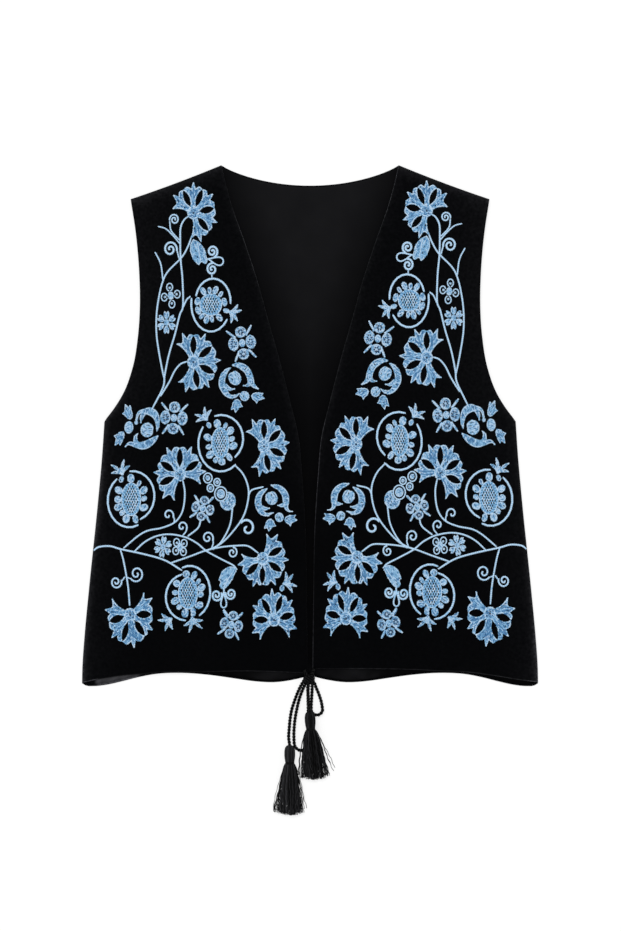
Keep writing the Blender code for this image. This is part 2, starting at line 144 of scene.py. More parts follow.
# %% [markdown]
# ## Floor and light
#
# The vest lies on a light table. Its white top glows, so hardly any shadow shows on it, and the rounded
# edges of the velvet catch a thin line of light from below. The rest is a white sky all round and one very
# soft sun from above the neck, which gives the raised stitches a little shade.

# %% Light the floor
FLOOR_DROP = 0.05
FLOOR_SIZE = 6.0
FLOOR_GREY = 0.30
FLOOR_GLOW = 0.72
SKY = 0.66
SUN = 1.42
SUN_WIDE = math.radians(35)
SUN_TURN = (math.radians(-32), math.radians(-14), 0.0)

select_only()
bpy.ops.mesh.primitive_plane_add(size=FLOOR_SIZE, location=(0, 0, -FLOOR_DROP * MM))
floor = bpy.context.active_object
floor.name = "floor"
floor_finish = bpy.data.materials.new("floor_paper")
floor_finish.use_nodes = True
set_inputs(
    floor_finish.node_tree.nodes["Principled BSDF"],
    Base_Color=(FLOOR_GREY, FLOOR_GREY, FLOOR_GREY, 1.0),
    Emission_Color=WHITE,
    Emission_Strength=FLOOR_GLOW,
    Roughness=1.0,
    Specular_IOR_Level=0.0,
)
floor.data.materials.append(floor_finish)

world = bpy.data.worlds.new("studio")
world.use_nodes = True
set_inputs(world.node_tree.nodes["Background"], Color=WHITE, Strength=SKY)
bpy.context.scene.world = world

sun_data = bpy.data.lights.new("soft_sun", "SUN")
sun_data.energy = SUN
sun_data.angle = SUN_WIDE
sun = bpy.data.objects.new("soft_sun", sun_data)
sun.rotation_euler = SUN_TURN
bpy.context.scene.collection.objects.link(sun)

bpy.context.scene.view_settings.view_transform = "Standard"
bpy.context.scene.view_settings.look = "None"
print("sky", SKY, "sun", SUN, "glow of the floor", FLOOR_GLOW)

# %% [markdown]
# ## Shared effects
#
# Velvet is a short cut pile. Its height changes from hair to hair, and brushing lays whole patches of it
# one way, which shows as soft lighter and darker clouds. The clouds and the painted sheen of the edges show
# in spots. All of it is noise on Object coordinates, because the cloth lies flat. Yarn, cord and thread
# are spun from fine fibres, whose sheen changes from patch to patch. The lining is a plain weave of thin
# threads, and slubs break up the painted light on it. Each effect is one node group that gives a mask and
# a height, and how pale the cloth is at a place comes in as a value that is painted on the mesh: painted
# sheen on the velvet, painted light and shade on the lining.

# %% Helpers for node groups


def new_group(name, values, titles):
    """A node group that takes a Vector and some values, with the sockets inside it."""
    group = bpy.data.node_groups.new(name, "ShaderNodeTree")
    group.interface.new_socket("Vector", in_out="INPUT", socket_type="NodeSocketVector")
    for title, value in values.items():
        socket = group.interface.new_socket(title, in_out="INPUT", socket_type="NodeSocketFloat")
        socket.default_value = value
    for title in titles:
        group.interface.new_socket(title, in_out="OUTPUT", socket_type="NodeSocketFloat")
    return group, group.nodes.new("NodeGroupInput").outputs, group.nodes.new("NodeGroupOutput").inputs


def add_node(tree, kind, **values):
    made = tree.nodes.new(kind)
    for name, value in values.items():
        setattr(made, name, value)
    return made


def add_noise(tree, vector, scale, detail=2.0):
    noise = add_node(tree, "ShaderNodeTexNoise")
    noise.inputs["Detail"].default_value = detail
    tree.links.new(vector, noise.inputs["Vector"])
    if isinstance(scale, (int, float)):
        noise.inputs["Scale"].default_value = scale
    else:
        tree.links.new(scale, noise.inputs["Scale"])
    return noise.outputs["Fac"]


def add_maths(tree, operation, first, second):
    maths = add_node(tree, "ShaderNodeMath", operation=operation)
    for socket, value in zip(maths.inputs, (first, second)):
        if isinstance(value, (int, float)):
            socket.default_value = value
        else:
            tree.links.new(value, socket)
    return maths.outputs[0]


print("node groups so far:", len(bpy.data.node_groups))

# %% The pile of velvet
CLOUD_SHARE = 0.05
SPOT_POWER = 1.5
SPOT_SHARE = 0.73

pile, pile_in, pile_out = new_group(
    "cut_pile",
    {"Pale": 0.0, "Clouds per metre": 9.0, "Spots per metre": 320.0, "Hairs per metre": 2600.0},
    ["Brushed", "Height"],
)
clouds = add_noise(pile, pile_in["Vector"], pile_in["Clouds per metre"], 3.0)
spots = add_noise(pile, pile_in["Vector"], pile_in["Spots per metre"], 3.0)
hairs = add_noise(pile, pile_in["Vector"], pile_in["Hairs per metre"], 1.0)
spotted = add_maths(pile, "MULTIPLY", add_maths(pile, "POWER", spots, SPOT_POWER), SPOT_SHARE)
# Painted sheen: the Pale value from the mesh is added to the brushed clouds, and both show in spots.
clouds_and_sheen = add_maths(pile, "ADD", add_maths(pile, "MULTIPLY", clouds, CLOUD_SHARE), pile_in["Pale"])
pile.links.new(add_maths(pile, "MULTIPLY", clouds_and_sheen, spotted), pile_out["Brushed"])
pile.links.new(hairs, pile_out["Height"])
print("group:", pile.name)

# %% Spun yarn and plain weave
SHEEN_PATCHES = 160.0
SLUBS = 35.0
SLUB_SHARE = 0.0625
SLUB_BASE = 0.094

spun, spun_in, spun_out = new_group("spun_yarn", {"Fibres per metre": 3500.0}, ["Sheen", "Height"])
fibres = add_noise(spun, spun_in["Vector"], spun_in["Fibres per metre"], 2.0)
patches = add_noise(spun, spun_in["Vector"], SHEEN_PATCHES, 1.0)
spun.links.new(patches, spun_out["Sheen"])
spun.links.new(fibres, spun_out["Height"])

weave, weave_in, weave_out = new_group(
    "plain_weave",
    {"Pale": 0.0, "Threads per metre": 1500.0},
    ["Slub", "Height"],
)
heights = []
for direction in ("X", "Y"):
    ribs = add_node(weave, "ShaderNodeTexWave", bands_direction=direction)
    ribs.inputs["Distortion"].default_value = 0.6
    weave.links.new(weave_in["Vector"], ribs.inputs["Vector"])
    weave.links.new(weave_in["Threads per metre"], ribs.inputs["Scale"])
    heights.append(ribs.outputs["Fac"])
weave.links.new(add_maths(weave, "MAXIMUM", *heights), weave_out["Height"])
slubs = add_noise(weave, weave_in["Vector"], SLUBS, 4.0)
uneven = add_maths(weave, "ADD", add_maths(weave, "MULTIPLY", slubs, SLUB_SHARE), SLUB_BASE)
# Painted light and shade: the Pale value from the mesh, made uneven by slubs.
weave.links.new(add_maths(weave, "MULTIPLY", weave_in["Pale"], uneven), weave_out["Slub"])
print("groups:", spun.name, "and", weave.name)

# %% [markdown]
# ## Finishes
#
# Every finish is a Principled shader. What is the same all over is set on its own sockets, and a group
# changes only colour, roughness and the bump. Velvet reflects almost nothing straight on, and its sheen
# brightens it where it turns away. Velvet and lining mix in a paler colour where their mesh says so, and
# that paler colour is painted sheen on the velvet and painted light on the lining.

# %% Build the finishes
Colour = namedtuple("Colour", "red green blue")


def finish(name, colour, roughness, **sockets):
    """A Principled material with its plain values set."""
    made = bpy.data.materials.new(name)
    made.use_nodes = True
    shader = made.node_tree.nodes["Principled BSDF"]
    set_inputs(shader, Base_Color=(*colour, 1.0), Roughness=roughness, **sockets)
    return made


def texture_with(material, group, roughness, bump, colours=None, attributes=(), **values):
    """Lets a group's first output mix two roughnesses and maybe two colours, and its height make a bump.
    Attributes of the mesh feed the group's sockets of the same name."""
    tree = material.node_tree
    shader = tree.nodes["Principled BSDF"]
    place = add_node(tree, "ShaderNodeTexCoord")
    effect = add_node(tree, "ShaderNodeGroup", node_tree=group)
    tree.links.new(place.outputs["Object"], effect.inputs["Vector"])
    set_inputs(effect, **values)
    for title in attributes:
        stored = add_node(tree, "ShaderNodeAttribute", attribute_name=title)
        tree.links.new(stored.outputs["Fac"], effect.inputs[title])
    mask = effect.outputs[0]
    if colours:
        mix = add_node(tree, "ShaderNodeMix", data_type="RGBA")
        mix.inputs["A"].default_value = (*colours[0], 1.0)
        mix.inputs["B"].default_value = (*colours[1], 1.0)
        tree.links.new(mask, mix.inputs["Factor"])
        tree.links.new(mix.outputs["Result"], shader.inputs["Base Color"])
    span = add_maths(tree, "MULTIPLY", mask, roughness[1] - roughness[0])
    tree.links.new(add_maths(tree, "ADD", span, roughness[0]), shader.inputs["Roughness"])
    relief = add_node(tree, "ShaderNodeBump")
    set_inputs(relief, Strength=bump[0], Distance=bump[1] * MM)
    tree.links.new(effect.outputs["Height"], relief.inputs["Height"])
    tree.links.new(relief.outputs["Normal"], shader.inputs["Normal"])
    return material


velvet = finish(
    "black_velvet",
    Colour(0.0010, 0.0010, 0.0016),
    0.95,
    Specular_IOR_Level=0.04,
    Sheen_Weight=0.4,
    Sheen_Roughness=0.24,
    Sheen_Tint=(0.72, 0.74, 0.82, 1.0),
)
# The paler velvet colour is painted sheen, mixed in where the mesh's Pale value says so.
texture_with(
    velvet,
    pile,
    roughness=(0.95, 1.0),
    bump=(0.35, 0.3),
    colours=(Colour(0.0002, 0.0003, 0.0006), Colour(0.0800, 0.0800, 0.0900)),
    attributes=["Pale"],
    Hairs_per_metre=2600.0,
)
lining = finish(
    "black_satin_lining",
    Colour(0.004, 0.004, 0.0046),
    0.6,
    Specular_IOR_Level=0.02,
    Sheen_Weight=0.01,
    Sheen_Roughness=0.5,
)
# Between the darker and the paler lining colour lies painted light and shade, set by the mesh's Pale value.
texture_with(
    lining,
    weave,
    roughness=(0.7, 0.55),
    bump=(0.3, 0.08),
    colours=(Colour(0.0002, 0.0002, 0.0004), Colour(0.0490, 0.0490, 0.0540)),
    attributes=["Pale"],
    Threads_per_metre=1500.0,
)
print("finishes:", velvet.name, "and", lining.name)

# %% [markdown]
# Cord, tassels and embroidery are spun of the same kind of fibre, each in a few shades. Strands of one
# black yarn are painted in three depths of black, as painted sheen, for how their fibres catch the light.
# Four shades of one blue thread change from stitch to stitch, as spun viscose does, and dusk is a second
# thread, for the dots in the flowers.

# %% Finish cord, yarn and thread
SPUN_FIBRES = 3500.0
CORD_BLACK = Colour(0.0016, 0.0016, 0.0019)
cord_finish = finish("black_cord", CORD_BLACK, 0.6, Specular_IOR_Level=0.12, Sheen_Weight=0.0)
texture_with(cord_finish, spun, (0.4, 0.62), (0.6, 0.12), Fibres_per_metre=SPUN_FIBRES)
# Painted sheen: three depths of black for the strands of one yarn.
YARN_DEPTHS = (0.0010, 0.0100, 0.0310)
yarns = []
for number, depth in enumerate(YARN_DEPTHS, start=1):
    black = Colour(depth, depth, depth * 1.1)
    yarn = finish(f"tassel_yarn_{number}", black, 0.55, Specular_IOR_Level=0.1)
    yarns.append(texture_with(yarn, spun, (0.45, 0.65), (0.3, 0.08), Fibres_per_metre=SPUN_FIBRES))
THREAD_COLOURS = {
    "deep": Colour(0.060, 0.215, 0.440),
    "middle": Colour(0.190, 0.430, 0.680),
    "bright": Colour(0.330, 0.590, 0.830),
    "light": Colour(0.565, 0.750, 0.930),
    "dusk": Colour(0.006, 0.030, 0.085),
}
DEEP, MIDDLE, BRIGHT, LIGHT, DUSK = range(5)
threads = []
for shade, colour in THREAD_COLOURS.items():
    thread = finish(f"thread_{shade}", colour, 0.5, Specular_IOR_Level=0.35, Sheen_Weight=0.12)
    threads.append(texture_with(thread, spun, (0.38, 0.6), (0.3, 0.08), Fibres_per_metre=SPUN_FIBRES))
print("finishes:", ", ".join(material.name for material in bpy.data.materials))

# %% [markdown]
# ## Cords
#
# The tie is a limp black cord of two strands, 2.8 mm thick. Its route is a list of given points, with a
# smooth curve through them. Each strand winds round that route and is drawn as a tube on a frame that
# turns with it, so the twist shows at its true scale.

# %% Lines and tubes


def through_points(route, step):
    """Points at about one step along a Catmull-Rom curve through a route."""
    places = [np.asarray(point, float) for point in route]
    places = [2 * places[0] - places[1], *places, 2 * places[-1] - places[-2]]
    found = []
    for a, b, c, d in zip(places, places[1:], places[2:], places[3:]):
        count = max(1, round(float(np.linalg.norm(c - b)) / step))
        for t in np.arange(count) / count:
            bend = (2 * a - 5 * b + 4 * c - d) * t * t + (3 * b - 3 * c + d - a) * t**3
            found.append(0.5 * (2 * b + (c - a) * t + bend))
    found.append(places[-2])
    return np.array(found)


def line_length(points):
    return float(np.linalg.norm(np.diff(points, axis=0), axis=1).sum())


def frames_along(points, outwards=None):
    """Two directions across a line at each of its points. The first one points outwards where that is
    given, or else is carried along without twisting."""
    tangents = np.gradient(points, axis=0)
    tangents = tangents / np.linalg.norm(tangents, axis=1)[:, None]
    across = np.cross(tangents[0], (0.0, 0.0, 1.0))
    found = []
    for number, tangent in enumerate(tangents):
        if outwards is not None:
            across = outwards[number]
        across = across - tangent * across.dot(tangent)
        across = across / np.linalg.norm(across)
        found.append((across, np.cross(tangent, across)))
    return found


def tube(points, radii, sides, outwards=None):
    """Points and faces of a closed tube along a line."""
    turns = math.tau * np.arange(sides) / sides
    places = []
    for point, radius, (one, two) in zip(points, radii, frames_along(points, outwards)):
        ring = np.outer(np.cos(turns), one) + np.outer(np.sin(turns), two)
        places.extend(point + ring * radius)
    faces = []
    for row in range(len(points) - 1):
        for side in range(sides):
            following = (side + 1) % sides
            low = row * sides
            high = low + sides
            faces.append((low + side, low + following, high + following, high + side))
    faces.append(tuple(range(sides - 1, -1, -1)))
    faces.append(tuple(range(len(places) - sides, len(places))))
    return places, faces


def joined(parts):
    """One list of points and faces from several."""
    places = []
    faces = []
    for some_places, some_faces in parts:
        start = len(places)
        places.extend(some_places)
        faces.extend(tuple(corner + start for corner in face) for face in some_faces)
    return places, faces


print("points of a straight 9 mm line, 1 mm apart:", len(through_points(((0, 0, 0), (9, 0, 0)), 1.0)))

# %% Twist the strands of a cord
STRANDS = 2
STRAND_RADIUS = 1.04
STRAND_OFFSET = 1.0
TWIST_LENGTH = 6.8
STRAND_SIDES = 10


def twisted(points):
    """The strands of a cord round the line that it follows."""
    frames = frames_along(points)
    steps = np.linalg.norm(np.diff(points, axis=0), axis=1)
    along = np.concatenate(([0.0], np.cumsum(steps)))
    parts = []
    for strand in range(STRANDS):
        turns = math.tau * (strand / STRANDS + along / TWIST_LENGTH)
        out = np.array([a * math.cos(t) + b * math.sin(t) for t, (a, b) in zip(turns, frames)])
        parts.append(tube(points + out * STRAND_OFFSET, [STRAND_RADIUS] * len(points), STRAND_SIDES, out))
    return joined(parts)


# %% [markdown]
# The bow's two ends run down to their tassels and go on a little way inside them, where they are
# fastened. Each loop leaves the knot, turns back on itself and returns to it. All of them lie on the
# floor except where they cross, and there one passes over the other in a low hump.

# %% Routes of the ends and the loops
CORD_STEP = 0.7
INTO_KNOT = 3.2
KNOT_CENTRE = np.array((-1.2, -277.9, 6.1))
TASSEL_LEFT_TOP = (-22.2, -351.0, 5.3)
TASSEL_RIGHT_TOP = (-0.3, -313.6, 9.2)
TASSEL_RIGHT_TILT = 3.0
END_LEFT = (
    (-7.2, -280.6, 7.2), (-10.8, -287.0, 4.2), (-14.0, -294.3, 2.1), (-17.4, -303.5, 2.1),
    (-20.2, -312.5, 2.1), (-21.9, -322.0, 2.1), (-22.8, -331.5, 2.1), (-23.5, -342.0, 2.5),
    (-22.5, -350.3, 4.9), (-22.2, -359.0, 5.3), (-22.2, -371.0, 5.3),
)
END_RIGHT = (
    (-2.1, -283.9, 7.5), (-2.6, -289.0, 6.3), (-2.0, -296.5, 5.8), (-1.9, -304.5, 6.1),
    (-0.6, -312.8, 8.8), (0.1, -321.0, 9.6), (0.75, -333.6, 9.6),
)
LOOP_LEFT = (
    (-4.8, -283.0, 5.1), (-8.2, -290.2, 2.7), (-11.6, -299.6, 2.1), (-14.2, -310.0, 2.1),
    (-16.3, -321.0, 2.1), (-17.5, -332.0, 2.1), (-17.8, -342.0, 2.1), (-17.2, -350.6, 2.1),
    (-15.7, -353.9, 2.1), (-12.9, -356.3, 2.1), (-9.4, -357.1, 2.1), (-5.9, -356.3, 2.1),
    (-3.1, -353.9, 2.1), (-1.6, -350.6, 2.1), (-1.0, -342.0, 2.1), (-1.3, -330.0, 2.1),
    (-1.9, -316.0, 2.1), (-2.2, -302.0, 2.1), (-2.3, -293.0, 2.2), (-1.8, -285.0, 3.0),
)
LOOP_RIGHT = (
    (2.0, -283.2, 5.6), (2.2, -290.5, 2.7), (1.8, -298.5, 2.1), (1.4, -305.8, 2.1),
    (1.3, -312.4, 2.1), (2.3, -315.2, 2.1), (4.3, -317.2, 2.1), (7.1, -318.1, 2.1),
    (10.0, -317.6, 2.1), (12.3, -315.8, 2.1), (13.6, -313.2, 2.1), (13.5, -310.3, 2.1),
    (12.2, -303.0, 2.1), (9.6, -295.0, 2.1), (6.6, -287.8, 2.7), (4.3, -282.0, 5.1),
)
print("points by hand:", *(len(route) for route in (END_LEFT, END_RIGHT, LOOP_LEFT, LOOP_RIGHT)))

# %% Lay the ends and the loops


def lay_cord(name, node, route, tucked=(0,)):
    """A cord along a route. Its tucked ends go on a little way into the knot."""
    route = [np.asarray(point, float) for point in route]
    for end in tucked:
        way = KNOT_CENTRE - route[end]
        reached = route[end] + way * INTO_KNOT / np.linalg.norm(way)
        route = [reached, *route] if end == 0 else [*route, reached]
    points = through_points(route, CORD_STEP)
    made = mesh_piece(name, *twisted(points))
    settle(made, [cord_finish], [node])
    print(f"  length {line_length(points):.0f} mm")
    return made, points


end_left, end_left_line = lay_cord("cord_end_left", "tie_end_left", END_LEFT)
end_right, end_right_line = lay_cord("cord_end_right", "tie_end_right", END_RIGHT)
loop_left, loop_left_line = lay_cord("cord_loop_left", "bow_loop_left", LOOP_LEFT, (0, -1))
loop_right, loop_right_line = lay_cord("cord_loop_right", "bow_loop_right", LOOP_RIGHT, (0, -1))

# %% [markdown]
# ## Knot
#
# A bow's knot is the cord wound round itself. Here one length winds between three and four times round the
# middle of the bow, over a small core that stands for the strands inside, and the two roots come down into
# it from the corners of the fronts, where they are sewn on.

# %% Wind the knot
KNOT_REACH = np.array((5.0, 4.1, 2.6))
KNOT_TURNS = 3.6
KNOT_NARROWER = 0.35
KNOT_SLANT = 0.9
KNOT_POINTS = 90
KNOT_CORE = (4.9, 4.9, 2.8)
EGG_POLE = 0.98
ROOT_LEFT = ((-6.0, -268.4, 6.9), (-5.2, -270.2, 7.1), (-4.0, -272.6, 7.2), (-2.6, -275.4, 6.6))
ROOT_RIGHT = ((4.4, -267.0, 6.9), (3.6, -269.2, 7.1), (2.0, -272.2, 7.2), (-0.2, -275.4, 6.6))


def wound_line():
    """The line of the cord round the knot, a little slanted, tighter at both ends."""
    share = np.linspace(-1.0, 1.0, KNOT_POINTS)
    turn = math.pi * KNOT_TURNS * share
    reach = np.sqrt(1 - KNOT_NARROWER * share**2)
    slant = KNOT_SLANT * np.sin(turn)
    across = KNOT_REACH[0] * reach * np.sin(turn)
    along = KNOT_REACH[1] * -share + slant
    height = KNOT_REACH[2] * reach * np.cos(turn)
    return KNOT_CENTRE + np.stack((across, along, height), axis=1)


def egg(centre, half, rows, sides):
    """A closed egg-shaped form, from its centre and its half sizes."""
    share = np.linspace(-EGG_POLE, EGG_POLE, rows)
    line = centre + np.outer(share, (0.0, half[1], 0.0))
    places, faces = tube(line, np.sqrt(1 - share**2), sides)
    places = np.array(places)
    offset = (places - centre) * (half[0], 1.0, half[2])
    return list(centre + offset), faces


knot_parts = [twisted(wound_line()), egg(KNOT_CENTRE, KNOT_CORE, 12, 20)]
for root in (ROOT_LEFT, ROOT_RIGHT):
    knot_parts.append(twisted(through_points(root, CORD_STEP)))
knot = mesh_piece("knot_turns", *joined(knot_parts))
settle(knot, [cord_finish], ["tie_knot"])

# %% [markdown]
# ## Tassels
#
# A tassel is a bundle of yarn hung over the cord, folded down and bound below the fold. The head is the
# folded part and the skirt is the loose ends, and each strand of yarn runs through both. The strands
# start on rings round the top, follow the head, pass through the narrow neck under its binding, and
# spread on the floor. A plain core inside the head keeps it full.

# %% Measure head and yarn
HEAD_LENGTH = 19.5
HEAD_PROFILE = ((0.0, 1.5), (0.9, 3.5), (2.8, 4.9), (6.0, 5.6), (11.0, 5.7), (15.0, 5.3), (HEAD_LENGTH, 4.5))
HEAD_FLATTENING = 0.86
NECK = HEAD_PROFILE[-1][1]
LAYERS = ((1.0, 69), (0.85, 60), (0.65, 45), (0.45, 30), (0.15, 9))
YARN_RADIUS = 0.37
YARN_SIDES = 3
YARN_SHADES = (0, 0, 1, 1, 2)
YARN_LOW = YARN_RADIUS + 0.15
print("strands in a tassel:", sum(count for layer, count in LAYERS))

# %% [markdown]
# Yarn from one skein hangs in locks of three strands that share their length, lean and slow wave. A few
# locks stray to one side. Each strand adds its own small lean and a fine crimp, left from the spinning.
# The skirt is a little shorter at its sides, where the strands have the longer way down. A head on the
# floor lets its skirt down softly, and one that lies on the loops lets it down at once.

# %% Shape one strand of yarn
SKIRT_STEPS = (0.03, 0.07, 0.12, *np.linspace(0.18, 1.0, 18))
SKIRT_LOW = 0.5
SKIRT_DEEP = 5.0
LOW_HEAD = 6.0
LOCK = 3
LOCK_SHORTER = 0.075
STRAND_SHORTER = 0.012
SHORTER_AT_SIDES = 0.07
LOCK_LEAN = 0.9
STRAY_SHARE = 0.14
STRAY_LEAN = 2.4
STRAND_LEAN = 0.13
SWAY = 0.75
SWAY_TURN = 6.5
CRIMP = 0.5
CRIMP_START = 2.4
CRIMP_TURN = 31.0
Tassel = namedtuple("Tassel", "top tilt skirt spread shift seed strays")


def lock_habits(dice):
    """What the strands of one lock share: length, lean and wave."""
    stray = dice.gauss(0.0, LOCK_LEAN)
    if dice.random() < STRAY_SHARE:
        stray += dice.choice((-STRAY_LEAN, STRAY_LEAN))
    return 1 - LOCK_SHORTER * dice.random() ** 1.3, stray, dice.uniform(0.0, math.tau)


def tassel_strand(form, layer, turn, habits, dice):
    """One strand's line, from the top of the head over its shape and down the skirt."""
    share, stray, wave = habits
    wide = math.cos(turn) * layer
    high = math.sin(turn) * layer
    line = []
    for along, radius in HEAD_PROFILE:
        line.append((wide * radius, -along, high * radius * HEAD_FLATTENING))
    length = form.skirt * share * (1 - STRAND_SHORTER * dice.random())
    bottom = SKIRT_LOW - form.top[2] + SKIRT_DEEP * (high + 1) / 2
    even = 1 - 2 * math.acos(math.cos(turn)) / math.pi
    even = math.copysign(abs(even) ** 1.15, even) * (0.35 + 0.65 * layer)
    length *= 1 - SHORTER_AT_SIDES * even * even
    apart = dice.gauss(0.0, STRAND_LEAN)
    crimp = 0.5 * wave + dice.uniform(0.0, CRIMP_START)
    for t in SKIRT_STEPS:
        flare = NECK + (form.spread - NECK) * t**0.68
        across = wide + (even - wide) * t**0.7
        lean = (stray * (0.5 + abs(even)) + apart + form.shift) * t**1.3
        side = across * flare + lean + SWAY * math.sin(wave + SWAY_TURN * t) * t**0.6
        side += CRIMP * t**0.7 * math.sin(crimp + CRIMP_TURN * t)
        drop = t * t * (3 - 2 * t) if form.top[2] < LOW_HEAD else min(1.0, 1.25 * t) ** 0.9
        height = high * NECK * HEAD_FLATTENING * (1 - drop) + bottom * drop
        height += 0.5 * CRIMP * t**0.7 * math.cos(crimp + CRIMP_TURN * t)
        line.append((side, -HEAD_LENGTH - length * t, height))
    return np.array(line)


print("points in a strand:", len(HEAD_PROFILE) + len(SKIRT_STEPS))

# %% [markdown]
# The right tassel lies on both loops, so its strands rise wherever one of them runs below.

# %% Put a strand where it lies
OVER_CORD = STRAND_OFFSET + STRAND_RADIUS + YARN_RADIUS + 0.1


def placed(form, line):
    """Points of a tassel's own frame, turned and moved to where it lies."""
    tilt = math.radians(form.tilt)
    x = line[:, 0] * math.cos(tilt) - line[:, 1] * math.sin(tilt)
    y = line[:, 0] * math.sin(tilt) + line[:, 1] * math.cos(tilt)
    return np.stack((x, y, line[:, 2]), axis=1) + np.asarray(form.top)


def laid_strand(form, layer, turn, habits, dice):
    """A strand where its tassel lies, kept above the floor."""
    line = placed(form, tassel_strand(form, layer, turn, habits, dice))
    line[:, 2] = np.maximum(line[:, 2], YARN_LOW)
    return line


def over_cords(line, cords):
    """Lifts a strand wherever it crosses a cord that lies under the tassel."""
    for cord in cords:
        apart = np.linalg.norm(line[:, None, :2] - cord[None, :, :2], axis=2)
        nearest = apart.argmin(axis=1)
        share = smoothstep((4.6 - apart.min(axis=1)) / 2.4)
        line[:, 2] = np.maximum(line[:, 2], share * (cord[nearest, 2] + OVER_CORD))
    return line


print(f"a strand passes {OVER_CORD:.2f} mm over the middle of a cord")

# %% [markdown]
# The binding is one thread wound five times round the neck. Single strands that stand away from the rest
# are listed one by one. Each is given by its length and its lean.

# %% Lay both tassels
BINDING_TURNS = 5
BINDING_RADIUS = 0.34
BINDING_PITCH = 0.55
BINDING_RAISED = 1.3
LEFT_STRAYS = ((0.97, -1.6), (0.93, 1.8))
RIGHT_STRAYS = ((0.84, 3.9), (0.9, 2.6), (0.8, 1.6), (0.95, -1.4))


def tassel_core(form):
    """The plain form that fills the head."""
    line = np.array([(0.0, -along, 0.0) for along, radius in HEAD_PROFILE])
    radii = [max(0.4, radius - 0.55) * 0.93 for along, radius in HEAD_PROFILE]
    return tube(placed(form, line), radii, 18)


def tassel_binding(form):
    """The thread that is wound round the neck."""
    turns = np.linspace(0.0, math.tau * BINDING_TURNS, 16 * BINDING_TURNS)
    reach = NECK + 0.3
    down = HEAD_LENGTH - BINDING_RAISED + BINDING_PITCH * turns / math.tau
    ring = np.stack((reach * np.cos(turns), -down, reach * HEAD_FLATTENING * np.sin(turns)), axis=1)
    return tube(placed(form, ring), [BINDING_RADIUS] * len(ring), 6)


def lay_tassel(name, node, form, cords=()):
    dice = random.Random(form.seed)
    lines = []
    shades = []
    for layer, count in LAYERS:
        for number in range(count):
            if number % LOCK == 0:
                habits = lock_habits(dice)
            turn = math.tau * (number + 0.4 * dice.random()) / count
            lines.append(over_cords(laid_strand(form, layer, turn, habits, dice), cords))
            # Each strand gets one depth of painted sheen.
            shades.append(dice.choice(YARN_SHADES))
    for share, lean in form.strays:
        habits = (share, lean, dice.uniform(0.0, math.tau))
        lines.append(laid_strand(form, 1.0, 0.0 if lean > 0 else math.pi, habits, dice))
        shades.append(0)
    parts = [tube(line, [YARN_RADIUS] * len(line), YARN_SIDES) for line in lines]
    parts += [tassel_core(form), tassel_binding(form)]
    shades += [0, 0]
    made = mesh_piece(name, *joined(parts))
    numbers = [shade for (places, faces), shade in zip(parts, shades) for face in faces]
    settle(made, yarns, [node], numbers)
    return made


left_form = Tassel(TASSEL_LEFT_TOP, 0.0, 58.2, 16.4, 0.0, 9, LEFT_STRAYS)
right_form = Tassel(TASSEL_RIGHT_TOP, TASSEL_RIGHT_TILT, 56.8, 16.8, 1.6, 26, RIGHT_STRAYS)
tassel_left = lay_tassel("tassel_left_yarn", "tassel_left", left_form)
tassel_right = lay_tassel("tassel_right_yarn", "tassel_right", right_form, [loop_left_line, loop_right_line])

# %% [markdown]


print("four cords laid")

# %% [markdown]
# ## The cut of the cloth
#
# The outlines are those of the solids: the side seam, the armhole, the shoulder, the neckline, the
# edges of the fronts and the wavy hem. Each is a smooth curve through a few places, in millimetres
# above the hem and out from the centre line.

# %% Outlines of back and fronts
HEM_TO_NECK = 572.7
NECK_HALF = 97.3
NECK_DEPTH = 22.4
SHOULDER_TIP_UP = 535.3
SHOULDER_TIP_OUT = 197.2
SHOULDER_DIP = 1.0
UNDERARM_UP = 291.5
BACK_WALL = 1.6
LINING_WALL = 1.0
FRONT_WALL = 1.8
GAP = 0.3
LINING_LOW = BACK_WALL + GAP
FRONT_LOW = LINING_LOW + LINING_WALL + GAP
SEAM_LOW = BACK_WALL + GAP
SEAM_TURN = 6.5
HEM_CORNER_OUT = 250.6

Edge = namedtuple("Edge", "up out")
Hem = namedtuple("Hem", "out up")
FrontHem = namedtuple("FrontHem", "out left_up right_up")

SIDE = (
    Edge(0.0, 250.7), Edge(22.0, 250.2), Edge(55.0, 247.9), Edge(105.0, 243.2), Edge(204.0, 233.0),
    Edge(253.0, 228.6), Edge(UNDERARM_UP, 226.0),
)
ARMHOLE = (
    Edge(UNDERARM_UP, 226.0), Edge(303.0, 217.0), Edge(320.0, 206.2), Edge(350.0, 195.0),
    Edge(385.0, 189.1), Edge(420.0, 187.0), Edge(455.0, 187.8), Edge(500.0, 191.8),
    Edge(SHOULDER_TIP_UP, SHOULDER_TIP_OUT),
)
FRONT_EDGE = (
    Edge(14.0, 2.6), Edge(92.0, 3.5), Edge(178.0, 5.2), Edge(236.0, 9.0), Edge(272.0, 12.2),
    Edge(316.0, 22.6), Edge(358.6, 33.5), Edge(402.6, 46.0), Edge(446.6, 58.2), Edge(489.5, 72.4),
    Edge(531.0, 86.9), Edge(551.0, 92.5), Edge(HEM_TO_NECK, NECK_HALF),
)
BACK_HEM = (
    Hem(0.0, 11.5), Hem(14.0, 7.9), Hem(39.6, 4.2), Hem(60.0, 5.2), Hem(84.0, 8.6), Hem(110.0, 12.2),
    Hem(142.0, 14.5), Hem(170.0, 13.2), Hem(189.0, 9.6), Hem(207.0, 5.0), Hem(224.0, 1.3),
    Hem(237.0, 0.0), Hem(246.4, 0.9), Hem(249.7, 3.0),
)
